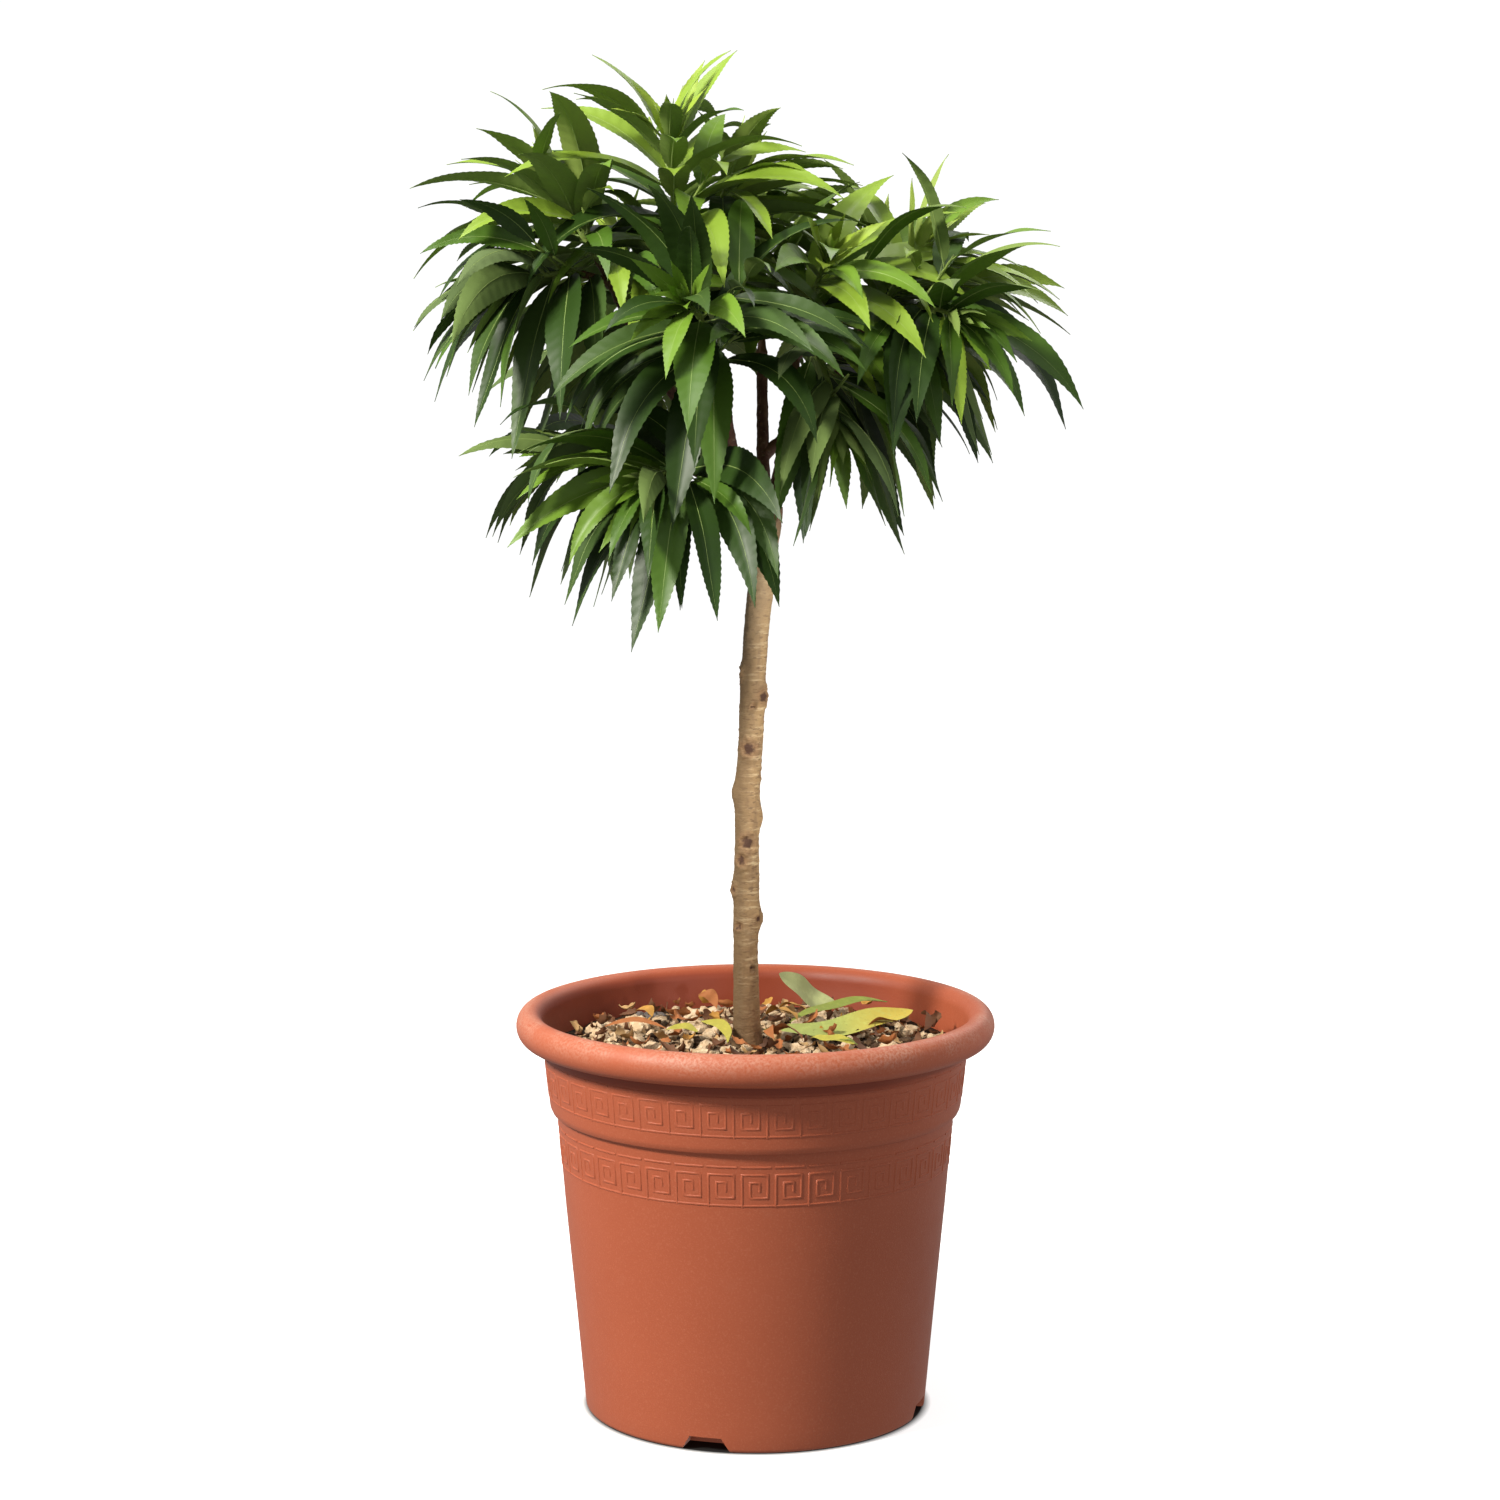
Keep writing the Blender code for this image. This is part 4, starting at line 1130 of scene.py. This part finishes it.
def outline_share(t):
    """How wide a leaf is along its blade, as a share of its greatest width."""
    t = np.clip(t, 0.0, 1.0)
    peak = BLADE_PEAK ** BLADE_RISE * (1.0 - BLADE_PEAK) ** BLADE_FALL
    return t ** BLADE_RISE * (1.0 - t) ** BLADE_FALL / peak


def level_axes(along):
    """A direction of length 1, a level axis across it, and the axis square to both."""
    along = along / np.linalg.norm(along)
    level = np.cross(UP, along)
    level /= np.linalg.norm(level)
    return along, level, np.cross(along, level)


def rolled(level, up, angles):
    """The sideways axes and normals of a leaf that is rolled about its line."""
    sides = level * np.cos(angles) + up * np.sin(angles)
    return sides, up * np.cos(angles) - level * np.sin(angles)


def fallen_leaf(start, end, sag, rise, half_width, roll, rows=40):
    """A leaf lying on the litter from its broad end to its tip, bowed sideways and up in its middle."""
    start = np.array(start)
    end = np.array(end)
    share = np.linspace(0.0, 1.0, rows)
    t = share[:, None]
    along, level, up = level_axes(end - start)
    line = start + (end - start) * t + (level * sag + np.array(UP) * rise) * 4.0 * t * (1.0 - t)
    sides, normals = rolled(level, up, np.full((rows, 1), roll))
    outline = share ** FALLEN_RISE * (1.0 - share) ** FALLEN_FALL
    widths = np.maximum(half_width * outline / outline.max(), 0.0004)
    fold = 0.2 + 0.12 * np.sin(7.0 * share)
    line = line + normals * (half_width * 0.12 * np.sin(11.0 * share + roll * 5.0))[:, None]
    return lens(line, sides, normals, widths, fold, FALLEN_THICKNESS)


def dry_leaf(centre, length, chance):
    """A curled, shrunken strip of leaf."""
    rows = 16
    angle = chance.uniform(0, math.tau)
    tilt = chance.gauss(0.0, 0.35)
    along, level, up = level_axes(np.array((math.cos(angle), math.sin(angle), tilt)))
    curl = chance.uniform(0.8, 3.4)
    twist = chance.uniform(-2.4, 2.4)
    t = np.linspace(-0.5, 0.5, rows)[:, None]
    radius = length / curl
    line = np.array(centre) + along * radius * np.sin(curl * t) + up * radius * (1.0 - np.cos(curl * t))
    sides, normals = rolled(level, up, twist * t + chance.uniform(-0.8, 0.8))
    half = length * chance.uniform(0.12, 0.26)
    widths = np.maximum(half * outline_share(t[:, 0] + 0.5), 0.0005)
    widths = widths * (1.0 + 0.18 * np.sin(chance.uniform(0, 6) + 17.0 * t[:, 0]))
    fold = np.full(rows, chance.uniform(-0.3, 1.3))
    return lens(line, sides, normals, widths, fold, FALLEN_THICKNESS)


def make_fallen_leaves(materials):
    piles = {name: Pile() for name in FALLEN_TINTS}
    for tint, start, end, sag, rise, half_width, roll in FALLEN_LEAVES:
        piles[tint].add(*fallen_leaf(start, end, sag, rise, half_width, roll))
    chance = random.Random(DRY_SEED)
    for x, y, half_length in scatter(chance, DRY_LEAVES, DRY_HALF_LENGTHS, []):
        tint = chance.choices(DRY_TINTS, DRY_COUNTS)[0]
        centre = (x, y, soil_height(x, y) + chance.uniform(*DRY_RISE))
        piles[tint].add(*dry_leaf(centre, half_length * 2.0, chance))
    for tint, pile in piles.items():
        dress("litter_" + tint, pile.shape(), materials[tint])


# Trunk and boughs


def fine_frames(path):
    """Directions and two turning axes along a path of points, carried along without twisting."""
    ways = np.gradient(path, axis=0)
    ways /= np.linalg.norm(ways, axis=1)[:, None]
    across = np.array(Vector(ways[0]).orthogonal().normalized())
    crosses = []
    for way in ways:
        across = across - way * across.dot(way)
        across = across / np.linalg.norm(across)
        crosses.append(across)
    crosses = np.array(crosses)
    return ways, crosses, np.cross(ways, crosses)


def tube(path, radii):
    """Points and triangles of a limb. radii has a row for each point and a column for each side."""
    _, across, third = fine_frames(path)
    angles = math.tau * np.arange(radii.shape[1]) / radii.shape[1]
    ring = across[:, None] * np.cos(angles)[None, :, None] + third[:, None] * np.sin(angles)[None, :, None]
    points = path[:, None] + ring * radii[..., None]
    return points.reshape(-1, 3), tube_faces(*radii.shape)


def trunk_path():
    foot = SOIL_TOP + CLEARANCE
    heights = [foot + (TRUNK_TOP - foot) * i / TRUNK_COARSE_STEPS for i in range(TRUNK_COARSE_STEPS + 1)]
    return [Vector((between(TRUNK_LEAN, height), 0.0, height)) for height in heights]


def bark_relief(height, facing, radius):
    """How far the bark stands out at a place: knots, sunken scars, rings, and small roughness."""
    relief = 0.0
    for knot_height, azimuth in KNOTS:
        off_side = facing.angle(heading(azimuth))
        off_height = height - knot_height
        relief += KNOT_REACH * math.exp(-((off_side / KNOT_SPREAD) ** 2) - (off_height / KNOT_HEIGHT) ** 2)
    for scar_height, azimuth, size in SCARS:
        if abs(height - scar_height) < 3.0 * size:
            off_side = facing.angle(heading(azimuth)) * radius
            reach = math.hypot(off_side, (height - scar_height) * 0.9) / size
            reach *= 1.0 + 0.5 * noise.noise(Vector((facing.x * 3.0, facing.y * 3.0, height * 380.0)))
            lip = 0.5 + 0.9 * noise.noise(Vector((facing.x * 2.0, facing.y * 2.0 + 9.0, height * 260.0)))
            relief -= SCAR_DEPTH * math.exp(-(reach ** 4))
            relief += SCAR_DEPTH * lip * math.exp(-(((reach - 1.25) / 0.32) ** 2))
    place = facing * 0.008

    def grain(around, upward, shift=0.0):
        return noise.noise(Vector((place.x * around + shift, place.y * around, height * upward)))

    relief += RING_RELIEF * grain(60, 420) + ROUGH_RELIEF * grain(240, 200) + BROAD_RELIEF * grain(45, 40)
    return relief + LENTICEL_RELIEF * max(0.0, grain(190, 700, 7) - 0.22) / 0.5


def make_trunk(material):
    heights = np.linspace(TRUNK_FOOT, TRUNK_TOP + 0.002, TRUNK_STEPS)
    path = np.array([(between(TRUNK_LEAN, height), 0.0, height) for height in heights])
    angles = math.tau * np.arange(TRUNK_SIDES) / TRUNK_SIDES
    points = []
    for x, _, height in path:
        flare = FLARE_REACH * math.exp(-((height - TRUNK_LEAN[0][0]) / FLARE_HEIGHT) ** 2)
        for angle in angles:
            facing = Vector((math.cos(angle), math.sin(angle), 0.0))
            radius = between(TRUNK_RADII, height)
            radius += bark_relief(height, facing, radius)
            radius += flare * (0.5 + 0.5 * math.sin(5.0 * angle + 1.0))
            points.append((x + radius * facing.x, radius * facing.y, height))
    shape = (np.array(points), tube_faces(TRUNK_STEPS, TRUNK_SIDES))
    dress("trunk_bark_relief", shape, material, ("trunk",))


def bow(root, bend, tip, steps):
    """Points of a curve from root to tip, drawn towards bend."""
    shares = [step / steps for step in range(steps + 1)]
    return [root * (1 - t) ** 2 + bend * 2 * t * (1 - t) + tip * t * t for t in shares]


def bough_bend(root, tip):
    """A bough leaves its parent outwards and then turns up to its tip."""
    reach = tip - root
    return root + Vector((reach.x * BOUGH_OUT, reach.y * BOUGH_OUT, reach.z * BOUGH_RISE))


def point_along(path, share):
    place = share * (len(path) - 1)
    ring = min(int(place), len(path) - 2)
    return path[ring].lerp(path[ring + 1], place - ring)


def way_along(path, share):
    """The direction of a path, smoothed over the joints between its rings."""
    ahead = point_along(path, min(share + WAY_SPAN, 1.0))
    return (ahead - point_along(path, max(share - WAY_SPAN, 0.0))).normalized()


def limb_radii(path, root_radius, tip_radius, sides, roughness, swelling, seed):
    """Radii along a limb: a taper, swollen at the buds, with small bark relief."""
    rows = len(path)
    shift = Vector((seed * 3.7, seed * 1.3, 0.0))
    radii = np.zeros((rows, sides))
    for row in range(rows):
        share = row / (rows - 1)
        base = root_radius + (tip_radius - root_radius) * share
        collar = 0.3 * root_radius * math.exp(-(share / 0.07) ** 2)
        node = swelling * base * max(0.0, math.cos(share * rows * 0.42 + seed)) ** 8
        for side in range(sides):
            angle = math.tau * side / sides
            place = Vector((math.cos(angle), math.sin(angle), share * 14.0))
            rough = noise.noise(place * 1.6 + shift) + 0.6 * noise.noise(place * 4.0 + shift)
            radii[row, side] = base + collar + node + base * roughness * rough
    return radii


def make_boughs(material):
    """The boughs' bark, and the coarse paths that the shoots grow on from."""
    paths = {"trunk": trunk_path()}
    for number, (name, parent, share, tip, root_radius, tip_radius) in enumerate(BOUGHS):
        root = point_along(paths[parent], share)
        bend = bough_bend(root, Vector(tip))
        paths[name] = bow(root, bend, Vector(tip), BOUGH_STEPS)
        path = np.array(bow(root, bend, Vector(tip), BOUGH_FINE_STEPS))
        radii = limb_radii(path, root_radius, tip_radius, BOUGH_SIDES, 0.1, 0.1, number)
        radii[-1] *= 0.86
        dress(name + "_bark", tube(path, radii), material, (name,))
    return paths


# Shoots and leaves, by the rule of the solids


def shoot_path(root, along, tip, steps=SHOOT_STEPS):
    """A shoot that leaves its root along the bough's own direction and bends to its tip."""
    bend = root + along * (tip - root).length * SHOOT_BEND
    return bow(root, bend, tip, steps)


def shoot_shape(path):
    """Corners and faces of a coarse shoot of three sides."""
    radii = np.linspace(SHOOT_ROOT_RADIUS, SHOOT_TIP_RADIUS, len(path))
    points, faces = tube(np.array(path), np.repeat(radii[:, None], 3, 1))
    return points.tolist(), faces.tolist()


def mass_shoots(carrier, tips):
    """Coarse and fine paths of a mass's shoots. The first meets the carrier's tip, the others fork off it."""
    along = (carrier[-1] - carrier[-2]).normalized()
    root = carrier[-1] + along * CLEARANCE
    tip = Vector(tips[0][0])
    first = shoot_path(root, along, tip)
    shoots = [(first, shoot_path(root, along, tip, SHOOT_FINE_STEPS))]
    for tip, _, _ in tips[1:]:
        tip = Vector(tip)
        fork = point_along(first, SHOOT_FORK)
        outward = (tip - fork).normalized()
        start = (along + outward).normalized()
        shoots.append((shoot_path(fork, start, tip), shoot_path(fork, start, tip, SHOOT_FINE_STEPS)))
    return shoots


def drooping_line(root, way, side, length, droop):
    """The midrib of a leaf that bends under its weight: points, directions and sideways axes."""
    line = [(root.copy(), way.copy(), side.copy())]
    point = root.copy()
    for step in range(LEAF_STEPS):
        axis = way.cross(-UP)
        if axis.length > NEARLY_DOWN:
            bend = droop / LEAF_STEPS * between(LEAF_SUPPLENESS, step / LEAF_STEPS)
            bend = min(bend, max(0.0, way.angle(-UP) - LEAF_HANG))
            turn = Matrix.Rotation(bend, 3, axis.normalized())
            way = (turn @ way).normalized()
            side = (turn @ side).normalized()
        point = point + way * length / LEAF_STEPS
        line.append((point.copy(), way.copy(), side.copy()))
    return line


def leaf_line(root, along, outward, share, chance, scale=1.0):
    """The midrib of one leaf and its length. share says how far up its shoot the leaf sits."""
    lean = math.radians(between(LEAF_LEANS, share) + chance.uniform(-LEAF_LEAN_SPREAD, LEAF_LEAN_SPREAD))
    length = between(LEAF_LENGTHS, share) * chance.uniform(*LEAF_LENGTH_SPREAD) * scale
    droop = between(LEAF_DROOPS, share) * chance.uniform(*LEAF_DROOP_SPREAD)
    way = (along * math.cos(lean) + outward * math.sin(lean)).normalized()
    side = way.cross(along).normalized()
    level = way.cross(UP)
    if level.length > NEARLY_UPRIGHT:
        level = level.normalized() * (1.0 if level.dot(side) > 0 else -1.0)
        side = (side + level).normalized()
    side = Matrix.Rotation(chance.uniform(-LEAF_ROLL, LEAF_ROLL), 3, way) @ side
    side = (side - way * side.dot(way)).normalized()
    return drooping_line(root, way, side, length, droop), length


def leaf_shape(line, length, spare=0.0, start=0.0):
    """A keeled blade of three-sided sections along the midrib, closed to a point at its tip."""
    corners = []
    faces = [(0, 1, 2)]
    stations = [max(station, start) for station in LEAF_STATIONS]
    for station in stations:
        point, way, side = line[round(station * LEAF_STEPS)]
        normal = side.cross(way)
        half = LEAF_HALF_WIDTH * length * between(LEAF_OUTLINE, station) + spare
        keel = LEAF_THICKNESS * length * (1.0 - LEAF_THINNING * station) + spare
        corners.append(point + side * half + normal * spare)
        corners.append(point - side * half + normal * spare)
        corners.append(point - normal * keel)
    corners.append(line[-1][0] + line[-1][1] * spare)
    last = len(corners) - 1
    for ring in range(len(stations)):
        for side_number in range(3):
            first = ring * 3 + side_number
            second = ring * 3 + (side_number + 1) % 3
            if ring == len(stations) - 1:
                faces.append((first, last, second))
            else:
                faces.append((first, first + 3, second + 3))
                faces.append((first, second + 3, second))
    return corners, faces


def box_of(corners):
    low = [min(corner[i] for corner in corners) for i in range(3)]
    high = [max(corner[i] for corner in corners) for i in range(3)]
    return low, high


class Space:
    """What is already in the crown, and whether a new leaf would touch any of it."""

    def __init__(self):
        self.pieces = []

    def add(self, owner, shape):
        self.pieces.append((owner, *box_of(shape[0]), BVHTree.FromPolygons(*shape)))

    def touches(self, owner, whole, blade):
        """Whether the whole leaf meets another mass or a limb, or its blade meets its own mass."""
        low, high = box_of(whole[0])
        whole_tree = BVHTree.FromPolygons(*whole)
        blade_tree = BVHTree.FromPolygons(*blade)
        for other_owner, other_low, other_high, other in self.pieces:
            if all(low[i] < other_high[i] and high[i] > other_low[i] for i in range(3)):
                tree = blade_tree if other_owner == owner else whole_tree
                if tree.overlap(other):
                    return True
        return False


def fills_gap(line):
    """Whether a leaf crosses one of the places where the crown is open from front to back."""
    for point, _, _ in line:
        for across, height, radius in SKY_GAPS:
            if math.hypot(point.x - across, point.z - height) < radius:
                return True
    return False


def shoot_leaves(owner, path, count, seed, space):
    """Leaves round one shoot, as (line, length, share up the shoot), dense towards its tip."""
    phase = random.Random(seed).uniform(0.0, math.tau)
    kept = []
    for number in range(count):
        share = LEAFY_FROM + (1.0 - LEAFY_FROM) * ((number + 0.5) / count) ** LEAF_CROWDING
        root = point_along(path, min(share, LEAFY_TO))
        along = way_along(path, share)
        across = along.orthogonal().normalized()
        for attempt in range(LEAF_TRIES):
            chance = random.Random(SEED_SPACING * seed + LEAF_TRIES * number + attempt)
            angle = phase + LEAF_TURN * number + chance.gauss(0.0, LEAF_WANDER + LEAF_SEEKING * attempt)
            outward = Matrix.Rotation(angle, 3, along) @ across
            line, length = leaf_line(root, along, outward, share, chance)
            whole = leaf_shape(line, length, LEAF_SPARE)
            blade = leaf_shape(line, length, LEAF_SPARE, LEAF_ROOT_SHARE)
            if not fills_gap(line) and not space.touches(owner, whole, blade):
                kept.append((line, length, share))
                space.add(owner, leaf_shape(line, length))
                break
    return kept


def inside(line, low, high):
    return all(low[i] <= point[i] <= high[i] for point, _, _ in line for i in range(3))


def side_twigs(owner, path, seed, space):
    """Short twigs off a shoot with smaller leaves, kept within the reach of the mass."""
    low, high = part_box(owner)
    chance = random.Random(seed + SIDE_SEED)
    twigs = []
    leaves = []
    for number in range(SIDE_TWIGS):
        share = SIDE_FROM + (SIDE_TO - SIDE_FROM) * (number + chance.uniform(0.2, 0.8)) / SIDE_TWIGS
        root = point_along(path, share)
        along = way_along(path, share)
        angle = LEAF_TURN * number * 0.75 + chance.uniform(0.0, math.tau)
        outward = Matrix.Rotation(angle, 3, along) @ along.orthogonal().normalized()
        lean = chance.uniform(*SIDE_LEAN)
        way = (along * math.cos(lean) + outward * math.sin(lean)).normalized()
        tip = root + way * chance.uniform(*SIDE_LENGTH) + UP * SIDE_LIFT
        twig = shoot_path(root, way, tip)
        grown = []
        for leaf in range(SIDE_LEAVES):
            leaf_share = SIDE_LEAFY_FROM + (1.0 - SIDE_LEAFY_FROM) * (leaf + 0.5) / SIDE_LEAVES
            leaf_root = point_along(twig, min(leaf_share, LEAFY_TO))
            twig_way = way_along(twig, leaf_share)
            across = twig_way.orthogonal().normalized()
            for attempt in range(LEAF_TRIES):
                turn = angle + LEAF_TURN * leaf + chance.gauss(0.0, 0.15 + 0.12 * attempt)
                scale = chance.uniform(*SIDE_LEAF_SCALE)
                aside = Matrix.Rotation(turn, 3, twig_way) @ across
                line, length = leaf_line(leaf_root, twig_way, aside, leaf_share, chance, scale)
                blade = leaf_shape(line, length, 0.0, LEAF_ROOT_SHARE)
                if not inside(line, low, high) or fills_gap(line):
                    continue
                if not space.touches(owner, blade, blade):
                    grown.append((line, length, leaf_share))
                    space.add(owner, leaf_shape(line, length))
                    break
        if grown:
            twigs.append(twig)
            leaves += grown
    return twigs, leaves


def tuft(path, seed):
    """The young leaves that stand close together at the tip of a shoot."""
    chance = random.Random(seed + TUFT_SEED)
    root = path[-1]
    along = way_along(path, 1.0)
    across = along.orthogonal().normalized()
    grown = []
    for number in range(TUFT_LEAVES):
        age = 1.0 - number / (TUFT_LEAVES - 1)
        lean = math.radians(between(TUFT_LEANS, age) + chance.uniform(-4, 4))
        length = TUFT_LENGTHS[0] + (TUFT_LENGTHS[1] - TUFT_LENGTHS[0]) * age * chance.uniform(0.8, 1.1)
        outward = Matrix.Rotation(LEAF_TURN * number + chance.gauss(0, 0.2), 3, along) @ across
        way = (along * math.cos(lean) + outward * math.sin(lean)).normalized()
        side = way.cross(along).normalized()
        side = (side - way * side.dot(way)).normalized()
        seat = root - along * TUFT_SEAT * age
        droop = chance.uniform(*TUFT_DROOP) * age
        grown.append((drooping_line(seat, way, side, length, droop), length, 1.0))
    return grown


# The fine blades


def along_line(line, rows):
    """Even, smooth points and axes along a leaf's line."""
    shares = np.linspace(0.0, 1.0, rows)
    places = np.linspace(0.0, 1.0, len(line))
    points, ways, sides = (
        np.stack([np.interp(shares, places, column) for column in np.array(part).T], -1)
        for part in zip(*line)
    )
    soft = points.copy()
    soft[1:-1] = (points[:-2] + points[1:-1] * 2.0 + points[2:]) / 4.0
    ways /= np.linalg.norm(ways, axis=1)[:, None]
    sides -= ways * np.sum(ways * sides, 1)[:, None]
    sides /= np.linalg.norm(sides, axis=1)[:, None]
    normals = np.cross(sides, ways)
    return shares, soft, ways, sides, normals


def blade(line, length, chance, rows, columns):
    """Top, underside and midrib of one leaf: folded along the rib, veined, wavy and finely toothed."""
    shares, points, ways, sides, normals = along_line(line, rows)
    t = np.clip((shares - BLADE_START) / (1.0 - BLADE_START), 0.0, 1.0)
    half = LEAF_HALF_WIDTH * length * chance.uniform(0.94, 1.06)
    widths = np.maximum(half * outline_share(t), BLADE_TIP)
    across = np.linspace(-1.0, 1.0, columns)
    edge = np.abs(across)
    fold = chance.uniform(*BLADE_FOLD) * (1.0 - 0.45 * shares)
    spread = widths[:, None] * across[None, :]
    teeth = TOOTH_DEPTH * (np.arange(rows) % 2)[:, None] * (edge > 0.99)[None, :] * np.sign(across)[None, :]
    spread = spread - teeth * np.minimum(1.0, widths / 0.004)[:, None]
    lift = widths[:, None] * (edge - BLADE_FOLD_SEAT)[None, :] * np.sin(fold)[:, None]
    phase = chance.uniform(0.0, math.tau)
    run = shares[:, None] * length
    veins = np.cos(math.tau * run / VEIN_PITCH - VEIN_SWEEP * edge[None, :])
    fade = np.minimum(1.0, widths / VEIN_FADE)[:, None]
    lift += VEIN_RELIEF * veins * (edge * (1.0 - edge) * 4.0)[None, :] * fade
    wave = np.sin(phase + 9.0 * shares[:, None] + 1.3 * np.sign(across)[None, :])
    lift += EDGE_WAVE * wave * (edge ** 2)[None, :] * (widths / half)[:, None]
    sheet = points[:, None] + sides[:, None] * (spread * np.cos(fold)[:, None])[..., None]
    sheet = sheet + normals[:, None] * lift[..., None]
    thick = BLADE_THICKNESS * (1.0 - edge ** 2)[None, :, None] * normals[:, None]
    top = (sheet + thick).reshape(-1, 3)
    under = (sheet - thick).reshape(-1, 3)
    seat = points - normals * (widths * BLADE_FOLD_SEAT * np.sin(fold))[:, None]
    rib_rows = slice(None, None, 2)
    radius = (RIB_RADII[0] + (RIB_RADII[1] - RIB_RADII[0]) * shares ** 0.8) * min(1.0, length / 0.09)
    corners = []
    for side_share, normal_share in ((1.0, 0.0), (0.0, 1.0), (-1.0, 0.0), (0.0, -1.0)):
        offset = sides * side_share * 0.8 + normals * normal_share
        corners.append((seat + offset * radius[:, None])[rib_rows])
    rib = np.stack(corners, 1)
    return top, under, rib


def pick_tint(share, tip, chance):
    """Painted light and shade: the shoots at the top get the brightest tints, those in the shade at the front
    the darkest.
    """
    light = "outer" if tip.x > SUNNY_BEYOND or tip.y > 0.0 else "shady"
    if tip.z > SUNNY_ABOVE:
        light = "sunny"
    limit, near_tip, below = TINT_COUNTS[light]
    return chance.choices(TINT_ORDER, near_tip if share > limit else below)[0]


def make_foliage(paths):
    space = Space()
    for name in ["trunk"] + [bough[0] for bough in BOUGHS]:
        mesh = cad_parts[name].data
        corners = [vert.co.copy() for vert in mesh.vertices]
        space.add(name, (corners, [tuple(face.vertices) for face in mesh.polygons]))
    shoots = {}
    for name, carrier, tips in MASSES:
        shoots[name] = mass_shoots(paths[carrier], tips)
        for coarse, _ in shoots[name]:
            space.add(name, shoot_shape(coarse))
    grown = []
    for name, _, tips in MASSES:
        for (coarse, _), (_, count, seed) in zip(shoots[name], tips):
            grown += [(leaf, coarse[-1], False) for leaf in shoot_leaves(name, coarse, count, seed, space)]
    twigs = []
    for name, _, tips in MASSES:
        for (coarse, _), (_, _, seed) in zip(shoots[name], tips):
            side, leaves = side_twigs(name, coarse, seed, space)
            twigs += side
            grown += [(leaf, coarse[-1], False) for leaf in leaves]
            grown += [(leaf, coarse[-1], True) for leaf in tuft(coarse, seed)]
    lay_leaves(grown)
    lay_twigs(shoots, twigs)


def lay_leaves(grown):
    piles = {}
    ribs = Pile()
    for number, ((line, length, share), tip, in_tuft) in enumerate(grown):
        chance = random.Random(LEAF_SEED + number)
        rows = LEAF_ROWS if length > LONG_LEAF else SHORT_LEAF_ROWS
        columns = LEAF_COLUMNS if length > SMALL_LEAF else SMALL_LEAF_COLUMNS
        tint = pick_tint(share, tip, chance)
        if in_tuft:
            # The tufts at the top take the young tint, their own paleness with painted light added; those
            # lower down take the fresh one
            tint = "young" if tip.z > SUNNY_ABOVE else "fresh"
        top, under, rib = blade(line, length, chance, rows, columns)
        faces = grid_faces(rows, columns)
        piles.setdefault(tint + "_top", Pile()).add(top, faces)
        piles.setdefault(tint + "_under", Pile()).add(under, faces[:, ::-1])
        ribs.add(rib.reshape(-1, 3), tube_faces(rib.shape[0], 4))
    masses = [name for name, _, _ in MASSES]
    for tint, (top, under) in TINTS.items():
        glossy = plain("leaf_" + tint, top, 0.44, 0.29)
        matt = plain("leaf_" + tint + "_under", under, 0.66, 0.18)
        dress("leaves_" + tint + "_top", piles[tint + "_top"].shape(), glossy, masses)
        dress("leaves_" + tint + "_under", piles[tint + "_under"].shape(), matt, masses)
    dress("leaf_ribs", ribs.shape(), plain("leaf_rib", RIB_COLOUR, 0.5, 0.35), masses)


def lay_twigs(shoots, side):
    piles = {"ripe": Pile(), "green": Pile()}
    number = 0
    for group in shoots.values():
        for _, fine in group:
            number += 1
            path = np.array(fine)
            radii = limb_radii(path, SHOOT_ROOT_RADIUS, SHOOT_TIP_RADIUS, SHOOT_SIDES, 0.07, 0.22, number)
            turn = int(SHOOT_FINE_STEPS * SHOOT_RIPENED)
            piles["ripe"].add(*tube(path[: turn + 1], radii[: turn + 1]))
            piles["green"].add(*tube(path[turn:], radii[turn:]))
    for path in side:
        number += 1
        fine = bow(path[0], path[2], path[-1], SIDE_STEPS)
        radii = limb_radii(fine, *SIDE_RADII, SIDE_SIDES, 0.06, 0.15, number)
        piles["green"].add(*tube(np.array(fine), radii))
    masses = [name for name, _, _ in MASSES]
    for kind, pile in piles.items():
        material = plain("twig_" + kind, TWIG_COLOURS[kind], 0.55, 0.4)
        dress("twigs_" + kind, pile.shape(), material, masses)


def main():
    make_stage()
    make_pot(pot_material())
    make_soil(soil_material())
    make_stones({name: stone_material(name, *colours) for name, colours in STONE_COLOURS.items()})
    make_fallen_leaves({name: fallen_material(name, colour) for name, colour in FALLEN_TINTS.items()})
    make_trunk(bark_material())
    make_foliage(make_boughs(bough_material()))


main()
